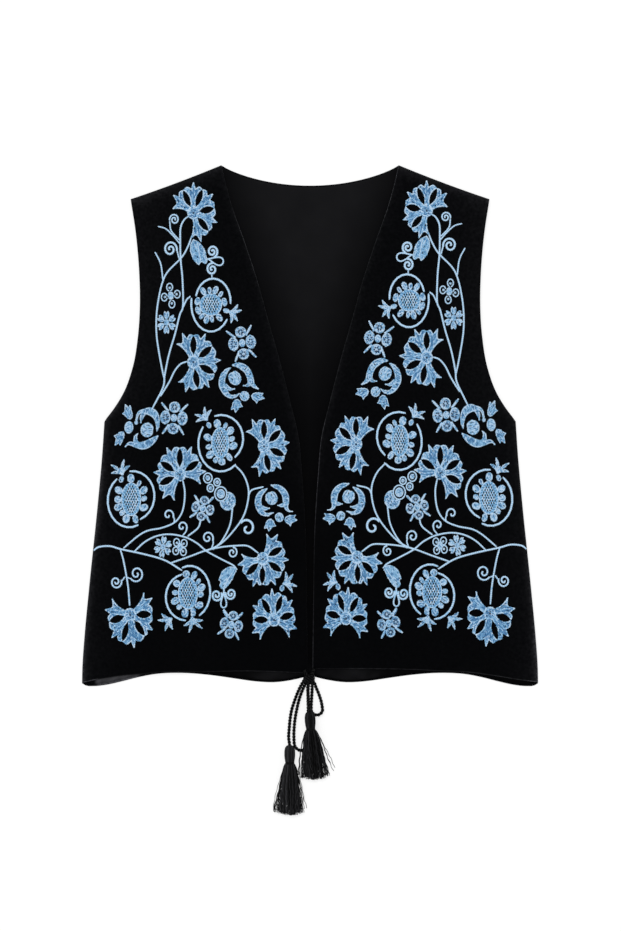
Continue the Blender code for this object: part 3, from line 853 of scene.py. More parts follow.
FRONT_HEM = (
    FrontHem(2.6, 14.3, 18.9), FrontHem(66.0, 16.5, 19.0), FrontHem(121.0, 15.6, 17.8),
    FrontHem(143.0, 15.6, 16.6), FrontHem(165.0, 15.2, 16.0), FrontHem(182.0, 13.6, 14.4),
    FrontHem(204.0, 12.1, 11.2), FrontHem(231.0, 8.0, 6.8), FrontHem(HEM_CORNER_OUT, 3.8, 4.4),
)
print("places on the outlines:", sum(len(row) for row in (SIDE, ARMHOLE, FRONT_EDGE, BACK_HEM, FRONT_HEM)))

# %% Curves through the places


def smooth_curve(places, values):
    """A smooth function through values at rising places."""
    places = np.array(places, float)
    values = np.array(values, float)
    steps = np.diff(values) / np.diff(places)
    slopes = np.gradient(values, places)
    slopes[0] = steps[0]
    slopes[-1] = steps[-1]

    def value(place):
        place = np.asarray(place, float)
        i = np.clip(np.searchsorted(places, place) - 1, 0, len(places) - 2)
        width = places[i + 1] - places[i]
        t = (place - places[i]) / width
        rise = values[i] * (1 + 2 * t) * (1 - t) ** 2 + slopes[i] * width * t * (1 - t) ** 2
        return rise + values[i + 1] * t * t * (3 - 2 * t) + slopes[i + 1] * width * t * t * (t - 1)

    return value


side_out = smooth_curve(*zip(*SIDE))
armhole_out = smooth_curve(*zip(*ARMHOLE))
front_edge_out = smooth_curve(*zip(*FRONT_EDGE))
back_hem_up = smooth_curve(*zip(*BACK_HEM))
hem_outs, left_ups, right_ups = zip(*FRONT_HEM)
front_hem_up = {-1: smooth_curve(hem_outs, left_ups), 1: smooth_curve(hem_outs, right_ups)}


def outer_out(up):
    return np.where(up <= UNDERARM_UP, side_out(up), armhole_out(up))


def shoulder_up(out):
    t = (out - NECK_HALF) / (SHOULDER_TIP_OUT - NECK_HALF)
    return HEM_TO_NECK + t * (SHOULDER_TIP_UP - HEM_TO_NECK) - 4 * SHOULDER_DIP * t * (1 - t)


def neckline_up(out):
    t = np.clip(out / NECK_HALF, 0.0, 1.0)
    return HEM_TO_NECK - NECK_DEPTH * (1 - t**2) ** 0.85


print("outlines ready, hem width", 2 * float(side_out(0.0)))

# %% [markdown]
# ## Folds
#
# The vest has been smoothed by hand, so its folds are low and soft: a slow swell over the chest, short
# creases that run in from the side seams, and small puckers where the seams pull. They are placed one
# by one, in uneven lengths and depths, and they fade out at the seams that hold the cloth down.

# %% Places of the folds
Fold = namedtuple("Fold", "side out up angle length width height")
FOLDS = (
    Fold(0, 118, 345, 80, 120, 52, 1.3),
    Fold(0, 140, 120, 95, 95, 62, 1.1),
    Fold(0, 196, 262, 155, 62, 11, 0.9),
    Fold(0, 188, 225, 168, 48, 9, -0.6),
    Fold(0, 150, 480, 110, 70, 24, 0.8),
    Fold(-1, 70, 60, 60, 70, 18, 0.8),
    Fold(1, 88, 52, 70, 60, 20, 0.9),
    Fold(-1, 206, 48, 100, 60, 14, 0.9),
    Fold(1, 212, 70, 84, 70, 12, 0.8),
    Fold(0, 176, 340, 70, 45, 14, 0.9),
    Fold(-1, 222, 180, 150, 26, 5, 0.5),
    Fold(-1, 226, 132, 172, 22, 4, -0.4),
    Fold(1, 224, 155, 160, 28, 5, 0.5),
    Fold(1, 229, 104, 176, 20, 4, -0.4),
    Fold(0, 186, 408, 20, 16, 5, 0.4),
    Fold(0, 178, 520, 250, 22, 6, 0.45),
)
FOLD_MARGIN = 30.0
FOLD_AT_EDGE = 0.25
print("folds:", len(FOLDS))

# %% Height of the fronts
EDGE_ROUND = 2.2
EDGE_THIN = 0.35


def fold_height(side, x, up):
    """Sum of the soft ridges and hollows at points of a front."""
    total = np.zeros_like(x)
    for fold in FOLDS:
        if fold.side not in (0, side):
            continue
        turn = math.radians(fold.angle)
        dx = np.abs(x) - fold.out
        dy = up - fold.up
        along = dx * math.cos(turn) + dy * math.sin(turn)
        aside = -dx * math.sin(turn) + dy * math.cos(turn)
        total += fold.height * np.exp(-((along / fold.length) ** 2) - (aside / fold.width) ** 2)
    return total


def seam_distance(x, up):
    """Distance from the side seam or the shoulder seam, whichever is nearer."""
    out = np.abs(x)
    slope = (HEM_TO_NECK - SHOULDER_TIP_UP) / (SHOULDER_TIP_OUT - NECK_HALF)
    to_shoulder = (shoulder_up(out) - up) / math.hypot(1, slope)
    to_side = outer_out(up) - out + np.maximum(0.0, up - UNDERARM_UP)
    return np.maximum(0.0, np.minimum(to_shoulder, to_side))


def edge_distance(side, x, up):
    """Distance from the nearest free edge of a front: armhole, front edge or hem."""
    out = np.abs(x)
    to_inner = out - front_edge_out(np.maximum(up, FRONT_EDGE[0].up))
    to_hem = up - front_hem_up[side](out)
    return np.maximum(0.0, np.minimum(np.minimum(outer_out(up) - out, to_inner), to_hem))


def front_low(side, x, up):
    """Height of a front's underside."""
    seam = seam_distance(x, up)
    base = SEAM_LOW + (FRONT_LOW - SEAM_LOW) * smoothstep(seam / SEAM_TURN)
    fade = FOLD_AT_EDGE + (1 - FOLD_AT_EDGE) * smoothstep(edge_distance(side, x, up) / FOLD_MARGIN)
    return base + np.maximum(0.0, fold_height(side, x, up) * fade * smoothstep(seam / FOLD_MARGIN))


def edge_profile(distance):
    """Share of a wall's thickness near an edge, which rounds off in a quarter circle."""
    t = np.clip(distance / EDGE_ROUND, 0.0, 1.0)
    return EDGE_THIN + (1 - EDGE_THIN) * np.sqrt(1 - (1 - t) ** 2)


def front_top(side, x, up):
    """Height of a front's upper face, which the embroidery lies on."""
    near = np.minimum(seam_distance(x, up), edge_distance(side, x, up))
    return front_low(side, x, up) + FRONT_WALL * edge_profile(near)


print(f"front over its lining at the middle of the chest: {float(front_low(1, 120.0, 300.0)):.1f} mm")

# %% [markdown]
# ## Cloth
#
# Each piece of cloth starts as a flat grid. Its points are moved so that the grid's four sides lie on
# the four edges of the pattern piece, with the rows closer together near the edges, and a Solidify
# modifier gives it its thickness. The grid turns with the cut as woven cloth would.

# %% Make a sheet of cloth


def crowded(share, amount=0.62):
    """Moves even shares from 0 to 1 closer together near both ends."""
    return (1 - amount) * share + amount * 0.5 * (1 - np.cos(math.pi * share))


def points_of(piece):
    """The points of a mesh, in metres."""
    places = np.empty(len(piece.data.vertices) * 3)
    piece.data.vertices.foreach_get("co", places)
    return places.reshape(-1, 3)


def move_points(piece, places):
    piece.data.vertices.foreach_set("co", places.ravel())
    piece.data.update()


def cloth(name, columns, rows, cut, low, wall):
    """A sheet of cloth: cut() gives x and up for shares across and up the grid, low() the underside,
    and wall() the thickness at a point."""
    select_only()
    bpy.ops.mesh.primitive_grid_add(x_subdivisions=columns, y_subdivisions=rows, size=1.0)
    made = bpy.context.active_object
    made.name = name
    made.data.name = name
    flat = np.clip(points_of(made) + 0.5, 0.0, 1.0)
    x, up = cut(flat[:, 0], flat[:, 1])
    under = low(x, up)
    thick = wall(x, up)
    y = up - HEM_TO_NECK / 2
    upper = np.stack((x, y, under + thick), axis=1) * MM
    move_points(made, upper)
    if made.data.polygons[0].normal.z < 0:
        made.data.flip_normals()
    apply_modifier(made, "SOLIDIFY", thickness=float(thick.max()) * MM, offset=-1.0)
    lower = np.stack((x, y, under), axis=1) * MM
    move_points(made, np.concatenate((upper, lower)))
    made.data.shade_smooth()
    area = sum(face.area for face in made.data.polygons) / 2
    return made, area


print("even shares crowd together as", crowded(np.linspace(0.0, 1.0, 5)).round(2))

# %% [markdown]
# A cut says where each point of the grid goes. It runs from the hem up to the neck or the shoulder. The
# back and its lining share one cut, with the lining a little inside, so that it can't peep out.

# %% Cut back, lining and fronts
HEM_CORNER_IN = 0.9


def back_cut(inset_side, inset_arm, inset_neck, inset_shoulder, inset_hem):
    """The cut of the back, or of its lining a little inside it."""

    def cut(across, height):
        share = 2 * crowded(across, 0.35) - 1
        out = np.abs(share)
        rise = crowded(height)
        hem_out = (HEM_CORNER_OUT - HEM_CORNER_IN - inset_side) * out
        top_out = (SHOULDER_TIP_OUT - inset_arm) * out
        low_corner = BACK_HEM[-1].up + inset_hem
        high_corner = shoulder_up(SHOULDER_TIP_OUT - inset_arm) - inset_shoulder
        outer_up = low_corner + rise * (high_corner - low_corner)
        arm_share = smoothstep((outer_up - UNDERARM_UP + 12.0) / 20.0)
        inset = inset_side + (inset_arm - inset_side) * arm_share
        outer = outer_out(outer_up) - inset
        top = np.where(
            top_out < NECK_HALF,
            neckline_up(top_out) - inset_neck,
            shoulder_up(np.maximum(top_out, NECK_HALF)) - inset_shoulder,
        )
        hem = back_hem_up(hem_out) + inset_hem
        up = (1 - rise) * hem + rise * top
        return np.sign(share) * out * outer, up

    return cut


def front_cut(side):
    """The cut of one front, from its outer edge to its front edge and from hem to shoulder."""
    hem_up = front_hem_up[side]
    low_outer = float(hem_up(HEM_CORNER_OUT))
    low_inner = float(hem_up(FRONT_HEM[0].out))

    def cut(across, height):
        share = crowded(across)
        rise = crowded(height)
        outer_up = low_outer + rise * (SHOULDER_TIP_UP - low_outer)
        inner_up = low_inner + rise * (HEM_TO_NECK - low_inner)
        hem_out = HEM_CORNER_OUT + share * (FRONT_HEM[0].out - HEM_CORNER_OUT)
        top_out = SHOULDER_TIP_OUT + share * (NECK_HALF - SHOULDER_TIP_OUT)
        out = (1 - share) * outer_out(outer_up) + share * front_edge_out(inner_up)
        up = (1 - rise) * hem_up(hem_out) + rise * shoulder_up(top_out)
        return side * out, up

    return cut


def back_edge(x, up):
    """Distance from the nearest edge of the back."""
    out = np.abs(x)
    top = np.where(out < NECK_HALF, neckline_up(out), shoulder_up(np.maximum(out, NECK_HALF)))
    return np.maximum(0.0, np.minimum(np.minimum(outer_out(up) - out, top - up), up - back_hem_up(out)))


print(f"corner of the back's hem {HEM_CORNER_OUT - HEM_CORNER_IN:.1f} mm out")

# %% [markdown]
# Velvet is painted pale along its outer edges and seams, as painted sheen where the cloth rounds away, and
# the lining is painted lighter where light reaches it and darker where it lies in shade. How pale each is
# goes by tables of places and levels along the edges, in millimetres up from the hem or out from the
# centre line, and is stored on the points of the cloth. A pair such as SIDE_GLOW says how much, and over
# how many millimetres it fades.

# %% How pale velvet and lining are
SIDE_LEVELS = {
    -1: ((0, 1.3), (60, 1.2), (72, 0.85), (135, 0.9), (165, 1.45), (235, 1.35), (250, 0.9), (300, 0.9)),
    1: ((0, 1.8), (55, 1.7), (75, 0.9), (135, 0.8), (165, 0.4), (300, 0.4)),
}
LINING_LEVELS = (
    (0, 1.0), (14, 1.0), (26, 0.1), (95, 0.1), (205, 0.19), (315, 0.46), (400, 0.92), (480, 1.12),
    (540, 1.18), (HEM_TO_NECK, 1.2),
)
HEM_LIGHT = (
    (-236, 0.2), (-233, 7.4), (-210, 8.0), (-192, 6.4), (-180, 0.4), (-90, 0.1), (-66, 0.3),
    (-53, 1.0), (-38, 1.0), (-24, 0.5), (0, 0.5), (24, 0.6), (36, 1.05), (52, 1.05), (66, 0.8),
    (80, 0.2), (240, 0.1),
)
BACK_HEM_LIGHT = ((-236, 0.0), (-233, 2.8), (-210, 3.3), (-192, 2.6), (-184, 0.0), (240, 0.0))
# Levels of the painted highlight along the fronts' edges and hem, and of the painted sheen beside them.
EDGE_LINES = {
    -1: ((0, 0.05), (205, 0.1), (284, 0.15), (337, 0.2), (389, 0.35), (442, 0.9), (462, 3.2), (498, 3.6),
        (515, 2.2), (530, 0.5), (HEM_TO_NECK, 0.4)),
    1: ((0, 1.3), (40, 1.3), (80, 0.8), (130, 0.35), (160, 0.6), (185, 1.3), (210, 1.7), (284, 1.9),
        (301, 0.8), (389, 0.7), (430, 0.5), (470, 0.9), (513, 1.9), (530, 3.1), (HEM_TO_NECK, 3.1)),
}
HEM_LINES = {
    -1: ((0, 0.4), (10, 0.6), (33, 0.9), (77, 0.9), (120, 0.2), (155, 0.5), (176, 0.2), (232, 0.2),
        (236, 3.4), (244, 4.0), (248, 8.0)),
    1: ((0, 0.4), (30, 0.4), (50, 1.0), (66, 1.2), (90, 0.8), (130, 0.6), (165, 0.3), (176, 1.1),
        (235, 1.0), (238, 3.4), (248, 3.6)),
}
EDGE_BAND = ((0, 0.0), (180, 0.0), (300, 0.15), (470, 0.12), (HEM_TO_NECK, 0.1))
EDGE_BAND_WIDE = 3.5
SIDE_RIM = 2.2
SIDE_GLOW = (0.09, 24.0)
SHOULDER_RIM = 6.0
SHOULDER_PALE = 0.34
SHOULDER_TIP = (0.2, 25.0)
CHEST_PALE = 0.03
UNDER_FRONT = (0.35, 5.0)
OPENING_DARK = 0.45
OPENING_WIDE = 48.0
HEM_STRIP = 22.0


def paint_pale(piece, values):
    """Stores on a cloth's points how pale its surface is, for its finish to read."""
    stored = piece.data.attributes.new("Pale", "FLOAT", "POINT")
    stored.data.foreach_set("value", np.asarray(values, float))


def cloth_points(piece):
    """Where a cloth's points lie: x and up in millimetres."""
    places = points_of(piece) / MM
    return places[:, 0], places[:, 1] + HEM_TO_NECK / 2


def painted_edge_sheen(x, up):
    """Painted sheen: the pile is painted pale along the outer edges, most at the sides, and less so on the
    chest.
    """
    out = np.abs(x)
    to_side = np.maximum(0.0, outer_out(up) - out)
    to_shoulder = np.maximum(0.0, shoulder_up(np.clip(out, NECK_HALF, SHOULDER_TIP_OUT)) - up)
    low = smoothstep((UNDERARM_UP + 45 - up) / 40.0)
    side_sheen = np.where(x < 0, between(SIDE_LEVELS[-1], up), between(SIDE_LEVELS[1], up))
    side = side_sheen * low * np.exp(-to_side / SIDE_RIM) + SIDE_GLOW[0] * np.exp(-to_side / SIDE_GLOW[1])
    tip = SHOULDER_TIP[0] * np.exp((out - SHOULDER_TIP_OUT) / SHOULDER_TIP[1])
    shoulder = (SHOULDER_PALE + tip) * np.exp(-to_shoulder / SHOULDER_RIM)
    return side + shoulder + CHEST_PALE * smoothstep((up - 120.0) / 300.0)


def lining_light(x, up):
    """The lining is darker low in the opening and near the fronts, and the light reaches it at the hem."""
    level = between(LINING_LEVELS, up)
    inside_edge = np.maximum(0.0, front_edge_out(np.clip(up, 14.0, HEM_TO_NECK)) - np.abs(x))
    opened = OPENING_DARK + (1 - OPENING_DARK) * smoothstep(inside_edge / OPENING_WIDE)
    shaded = (1 - UNDER_FRONT[0] * np.exp(-inside_edge / UNDER_FRONT[1])) * opened
    streaks = 0.9 + 0.35 * np.sin(2.3 * up + 0.04 * x) * np.sin(0.11 * x + 0.3 * up)
    # Painted light and shade, with painted streaks of sheen on the strip at the hem.
    return level * np.where(up > HEM_STRIP, shaded, between(HEM_LIGHT, x) * streaks)


print("levels along the sides:", len(SIDE_LEVELS[-1]), "and", len(SIDE_LEVELS[1]))

# %% [markdown]
# The back goes down first, then its lining, then both fronts, as they lie on each other in the vest.
# Every one of them stands for its solid of the frame.

# %% Lay back and lining
BACK_GRID = (90, 100)
LINING_GRID = (80, 90)
# Insets at side, armhole, neck, shoulder and hem.
BACK_INSETS = (0.0, 0.0, 0.0, 0.0, 0.0)
LINING_INSETS = (9.5, 3.0, 1.8, 9.5, 2.6)

back, back_area = cloth(
    "back_velvet",
    *BACK_GRID,
    back_cut(*BACK_INSETS),
    lambda x, up: np.zeros_like(x),
    lambda x, up: BACK_WALL * edge_profile(back_edge(x, up)),
)
x, up = cloth_points(back)
# Painted sheen along the back's edges, and painted light on the strip of back that shows below the fronts'
# hem.
hem_strip = smoothstep((16.0 - up) / 3.0)
paint_pale(back, painted_edge_sheen(x, up) * (1 - hem_strip) + hem_strip * between(BACK_HEM_LIGHT, x))
settle(back, [velvet], ["back"])

back_lining, lining_area = cloth(
    "lining_cloth",
    *LINING_GRID,
    back_cut(*LINING_INSETS),
    lambda x, up: np.full_like(x, LINING_LOW),
    lambda x, up: np.full_like(x, LINING_WALL),
)
# Painted light and shade on the lining.
paint_pale(back_lining, lining_light(*cloth_points(back_lining)))
settle(back_lining, [lining], ["back_lining"])

# %% Lay both fronts
FRONT_GRID = (92, 170)
EDGE_LINE_WIDE = 0.2
HEM_LINE_WIDE = 0.9
fronts = {}
front_areas = {}
for side, word in ((-1, "left"), (1, "right")):
    fronts[side], front_areas[side] = cloth(
        f"front_velvet_{word}",
        *FRONT_GRID,
        front_cut(side),
        lambda x, up, side=side: front_low(side, x, up),
        lambda x, up, side=side: front_top(side, x, up) - front_low(side, x, up),
    )
    x, up = cloth_points(fronts[side])
    from_edge = np.abs(x) - front_edge_out(up)
    from_hem = up - front_hem_up[side](np.abs(x))
    # Painted highlight: a thin pale line along the front edge and the hem, where the folded edge catches the
    # light. The band beside the front edge is painted sheen.
    line = between(EDGE_LINES[side], up) * (from_edge < EDGE_LINE_WIDE)
    hem_line = between(HEM_LINES[side], np.abs(x)) * (from_hem < HEM_LINE_WIDE)
    band = between(EDGE_BAND, up) * np.exp(-from_edge / EDGE_BAND_WIDE)
    paint_pale(fronts[side], painted_edge_sheen(x, up) + np.maximum(line, hem_line) + band)
    settle(fronts[side], [velvet], [f"front_{word}"])
print(f"areas in m2: back {back_area:.3f}, lining {lining_area:.3f}, front {front_areas[1]:.3f}")

# %% [markdown]

for side, word in ((-1, "left"), (1, "right")):
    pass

# %% [markdown]
# ## One stitch
#
# Embroidery is thousands of short stitches of the same thread. One stitch is modelled once: a small
# spindle, full in the middle, with both ends going down into the cloth. It starts as a ball with few
# faces, its two rings are moved out towards the ends, and every stitch on the vest is a copy of it that is
# stretched, turned and bent over the cloth. Copies that never move alone are joined into a few meshes.

# %% Model the stitch
STITCH_SIDES = 4


def model_stitch():
    """Points and triangles of a stitch that is 1 long on X, 1 wide and 1 high."""
    select_only()
    bpy.ops.mesh.primitive_uv_sphere_add(
        segments=STITCH_SIDES, ring_count=3, radius=0.5, rotation=(0.0, math.pi / 2, 0.0)
    )
    ball = bpy.context.active_object
    bpy.ops.object.transform_apply(location=True, rotation=True, scale=True)
    bpy.ops.object.mode_set(mode="EDIT")
    bpy.ops.mesh.select_all(action="DESELECT")
    bpy.ops.object.mode_set(mode="OBJECT")
    for vertex in ball.data.vertices:
        vertex.select = abs(vertex.co.x) < 0.4
    bpy.ops.object.mode_set(mode="EDIT")
    bpy.ops.transform.resize(value=(1.3, 1.12, 1.12), center_override=(0.0, 0.0, 0.0))
    bpy.ops.mesh.select_all(action="SELECT")
    bpy.ops.mesh.quads_convert_to_tris()
    bpy.ops.object.mode_set(mode="OBJECT")
    places = np.array([vertex.co[:] for vertex in ball.data.vertices])
    faces = np.array([face.vertices[:] for face in ball.data.polygons])
    bpy.data.objects.remove(ball, do_unlink=True)
    return places, faces


STITCH_PLACES, STITCH_FACES = model_stitch()
print("one stitch:", len(STITCH_PLACES), "points,", len(STITCH_FACES), "triangles")

# %% [markdown]
# ## Ways to sew
#
# The design is drawn on the front at the viewer's left, in millimetres: x is below zero there and up is
# the height above the hem. Three ways of sewing make all of it. A fill lays rows of stitches side by side
# inside an outline, set like bricks so that the ends don't line up. A border runs along an outline in the
# lightest thread. A rope lays short slanted stitches across a line, and makes the stems.

# %% Measure the stitches
ROW = 0.84
THREAD_WIDE = 1.02
FILL_LENGTH = 2.4
SUNKEN_SHARE = 0.03
BORDER_LENGTH = 2.1
BORDER_WIDE = 1.15
BORDER_LIFT = 0.38
DULL_SHARE = 0.28
FLECKED = (DEEP, DEEP, MIDDLE, MIDDLE, BRIGHT, BRIGHT, LIGHT)
PALE = (DEEP, MIDDLE, BRIGHT, BRIGHT, LIGHT, LIGHT)
EVEN = (DEEP, MIDDLE, MIDDLE, BRIGHT, BRIGHT, BRIGHT, BRIGHT, LIGHT)
CORNER_BEND = math.radians(36)
ROPE_STEP = 0.78
ROPE_SLANT = math.radians(62)
ROPE_LIFT = 0.15
Stitch = namedtuple("Stitch", "x up turn length wide lift shade")
thread_dice = random.Random(11)
print("rows of a fill", ROW, "mm apart, stitches", FILL_LENGTH, "mm long")

# %% Lines on the cloth


def even_steps(line, step):
    """Points at even steps along a line, at least two."""
    line = np.asarray(line, float)
    lengths = np.linalg.norm(np.diff(line, axis=0), axis=1)
    along = np.concatenate(([0.0], np.cumsum(lengths)))
    count = max(2, round(along[-1] / step) + 1)
    places = np.linspace(0.0, along[-1], count)
    return np.stack((np.interp(places, along, line[:, 0]), np.interp(places, along, line[:, 1])), axis=1)


def between_corners(line, closed):
    """Runs of a line from one sharp corner to the next, so that points and notches stay sharp."""
    line = np.asarray(line, float)
    if closed:
        line = np.concatenate((line, line[:1]))
    keep = np.concatenate(([True], np.linalg.norm(np.diff(line, axis=0), axis=1) > 0.08))
    line = line[keep]
    if closed and np.linalg.norm(line[0] - line[-1]) > 0.01:
        line = np.concatenate((line, line[:1]))
    ways = np.diff(line, axis=0)
    turns = np.arctan2(ways[:, 1], ways[:, 0])
    bends = np.abs((np.diff(turns) + math.pi) % math.tau - math.pi)
    corners = np.flatnonzero(bends > CORNER_BEND) + 1
    if closed and len(corners):
        start = corners[0]
        line = np.concatenate((line[start:-1], line[: start + 1]))
        corners = corners - start
        return [line[a : b + 1] for a, b in zip(corners, [*corners[1:], len(line) - 1])]
    cuts = [0, *corners, len(line) - 1]
    return [line[a : b + 1] for a, b in zip(cuts, cuts[1:])]


def smooth_route(points):
    """A smooth line on the cloth through a few points."""
    line = through_points([(*point, 0.0) for point in points], 1.5)
    return np.array([place[:2] for place in line])


def inside(outline, distance):
    """An outline moved inwards."""
    ring = np.asarray(outline, float)
    ways = np.roll(ring, -1, axis=0) - np.roll(ring, 1, axis=0)
    ways /= np.maximum(np.linalg.norm(ways, axis=1), 1e-6)[:, None]
    area = np.sum(ring[:, 0] * np.roll(ring[:, 1], -1) - np.roll(ring[:, 0], -1) * ring[:, 1])
    sign = 1.0 if area > 0 else -1.0
    return ring + sign * distance * np.stack((-ways[:, 1], ways[:, 0]), axis=1)


print("lines are cut at bends over", round(math.degrees(CORNER_BEND)), "degrees")

# %% Fills, borders and ropes


def fill(outline, degrees, shades=FLECKED, lift=0.0):
    """Rows of stitches inside an outline, all along one direction. A few have sunk into the pile."""
    turn = math.radians(degrees)
    along = np.array((math.cos(turn), math.sin(turn)))
    aside = np.array((-along[1], along[0]))
    ring = np.asarray(outline, float)
    u, v = ring @ along, ring @ aside
    next_u, next_v = np.roll(u, -1), np.roll(v, -1)
    made = []
    for number, row in enumerate(np.arange(v.min() + ROW / 2, v.max(), ROW)):
        crossed = (v > row) != (next_v > row)
        share = (row - v[crossed]) / (next_v[crossed] - v[crossed])
        places = np.sort(u[crossed] + share * (next_u[crossed] - u[crossed]))
        for start, end in zip(places[::2], places[1::2]):
            if end - start < 0.5:
                continue
            count = max(1, round((end - start) / FILL_LENGTH))
            shift = 0.5 if number % 2 and count > 1 else 0.0
            cuts = start + (end - start) * (np.arange(count + 1) - shift) / count
            cuts = np.unique(np.clip(np.append(cuts, end), start, end))
            for low, high in zip(cuts, cuts[1:]):
                if thread_dice.random() < SUNKEN_SHARE:
                    continue
                place = (low + high) / 2 * along + row * aside
                length = high - low + 0.5
                lean = turn + thread_dice.uniform(-0.09, 0.09)
                shade = thread_dice.choice(shades)
                made.append(Stitch(*place, lean, length, THREAD_WIDE, lift, shade))
    return made


def border(line, wide=BORDER_WIDE, closed=True, shade=LIGHT, lift=BORDER_LIFT, dull=DULL_SHARE):
    """Running stitches end to end along a line, shorter on small forms. Some are a shade duller."""
    line = np.asarray(line, float)
    around = float(np.linalg.norm(np.diff(line, axis=0), axis=1).sum())
    step = min(BORDER_LENGTH, around / 11) if closed else BORDER_LENGTH
    made = []
    for run in between_corners(line, closed):
        places = even_steps(run, step)
        for one, two in zip(places, places[1:]):
            way = two - one
            length = float(np.linalg.norm(way)) * 1.25
            turn = math.atan2(way[1], way[0])
            duller = MIDDLE if thread_dice.random() < dull and shade == LIGHT else shade
            made.append(Stitch(*((one + two) / 2), turn, length, wide, lift, duller))
    return made


def polar(degrees, reach=1.0):
    turn = np.radians(degrees)
    return np.stack((np.cos(turn), np.sin(turn)), axis=-1) * np.asarray(reach)[..., None]


def dots(place, half, count, shade=DUSK, lift=0.7, size=(1.5, 1.2)):
    """Single short stitches round an ellipse."""
    made = []
    for degrees in np.arange(count) * 360.0 / count:
        spot = np.asarray(place) + polar(degrees) * np.asarray(half)
        made.append(Stitch(*spot, math.radians(degrees + 90), *size, lift, shade))
    return made


def rope(line, wide, ends=(0.75, 0.75), shades=(LIGHT, BRIGHT, LIGHT)):
    """Slanted stitches across a line, a little shorter at its ends."""
    places = even_steps(line, ROPE_STEP)
    if len(places) < 3:
        return []
    ways = np.gradient(places, axis=0)
    made = []
    for number, (place, way) in enumerate(zip(places, ways)):
        share = number / (len(places) - 1)
        taper = min(1.0, ends[0] + 6 * share, ends[1] + 6 * (1 - share))
        turn = math.atan2(way[1], way[0]) + ROPE_SLANT
        length = wide * taper / math.sin(ROPE_SLANT)
        made.append(Stitch(*place, turn, length, 1.05, ROPE_LIFT, shades[number % len(shades)]))
    return made


def shape(outline, degrees, edge=BORDER_WIDE, **values):
    """A filled form with its border."""
    lift = values.get("lift", 0.0) + BORDER_LIFT
    made = fill(outline, degrees, **values)
    return made + border(inside(outline, 0.6 * edge), wide=edge, lift=lift)


print("shades of a fill:", len(set(FLECKED)))

# %% [markdown]
# ## Simple forms
#
# The motifs are put together from a few forms: an ellipse, a stroke that swells and tapers, a spiral, and
# a fan petal. Angles are in degrees, counter-clockwise from the viewer's right.

# %% Ellipses, strokes and spirals
LEAFLET_PROFILE = ((0.0, 0.35), (0.35, 0.62), (0.62, 1.0), (0.8, 0.75), (0.93, 0.35), (1.0, 0.0))
LEAFLET_WIDE = 3.6
SPIKE_PROFILE = ((0.0, 0.7), (0.5, 1.0), (0.85, 0.75), (1.0, 0.0))
SPIKE_WIDE = 2.6
TAIL_PROFILE = ((0.0, 1.0), (0.55, 0.8), (1.0, 0.0))


def ellipse(place, half, start=0.0, end=360.0, tilt=0.0):
    """Points on an ellipse between two angles."""
    count = max(8, round(abs(end - start) / 360 * 26))
    turns = np.linspace(start, end, count, endpoint=abs(end - start) < 359)
    points = polar(turns) * np.asarray(half)
    turn = math.radians(tilt)
    spin = np.array(((math.cos(turn), math.sin(turn)), (-math.sin(turn), math.cos(turn))))
    return np.asarray(place) + points @ spin


def closed_ring(place, half):
    ring = ellipse(place, half)
    return np.concatenate((ring, ring[:1]))


def disc(place, half, degrees=40.0, tilt=0.0, spot=0.0, edge=BORDER_WIDE, lift=0.0):
    """A small filled disc with a border. A ring of dark dots round a light one may mark its middle."""
    made = shape(ellipse(place, half, tilt=tilt), degrees, edge=edge, lift=lift, shades=PALE)
    if spot:
        made += dots(place, np.asarray(half) * spot, 6, lift=lift + 0.6, size=(1.9, 1.5))
        made += dots(place, (0.0, 0.0), 1, shade=LIGHT, lift=lift + 0.8, size=(1.5, 1.5))
    return made


def stroke(line, wide, profile):
    """The outline of a stroke along a line, with its half width from a profile."""
    places = even_steps(line, 1.4)
    ways = np.gradient(places, axis=0)
    ways /= np.linalg.norm(ways, axis=1)[:, None]
    aside = np.stack((-ways[:, 1], ways[:, 0]), axis=1)
    share = np.linspace(0.0, 1.0, len(places))
    half = wide / 2 * between(profile, share)[:, None]
    return np.concatenate((places + aside * half, (places - aside * half)[::-1]))


def spike(place, degrees, length):
    line = np.asarray(place) + np.outer(np.linspace(0.0, 1.0, 8), polar(degrees, length))
    return shape(stroke(line, SPIKE_WIDE, SPIKE_PROFILE), degrees)


def spiral(place, radius, start, turns, wide, tall=1.14):
    """A rope that winds in to a centre. turns is below zero where it runs clockwise."""
    share = np.linspace(0.0, 1.0, 30)
    reach = radius * (1 - 0.84 * share**1.15)
    line = np.asarray(place) + polar(start + 360 * turns * share, reach) * (1.0, tall)
    return rope(line, wide, ends=(1.0, 1.0))


def place_of(row):
    """Where a row's motif stands on the left front."""
    return np.array((-row.out, row.up))


print("points round a disc:", len(ellipse((0.0, 0.0), (1.0, 1.0))))

# %% [markdown]
# ## Carnations
#
# The largest flowers are carnations seen from the side: five fan petals round a disc, with toothed rims, a
# long tooth in the middle of each and dark slits between neighbours. A table gives the place, the half
# sizes, the angles of the petals' edges and of their long teeth. The petals' shape is the same formula for
# all of them.

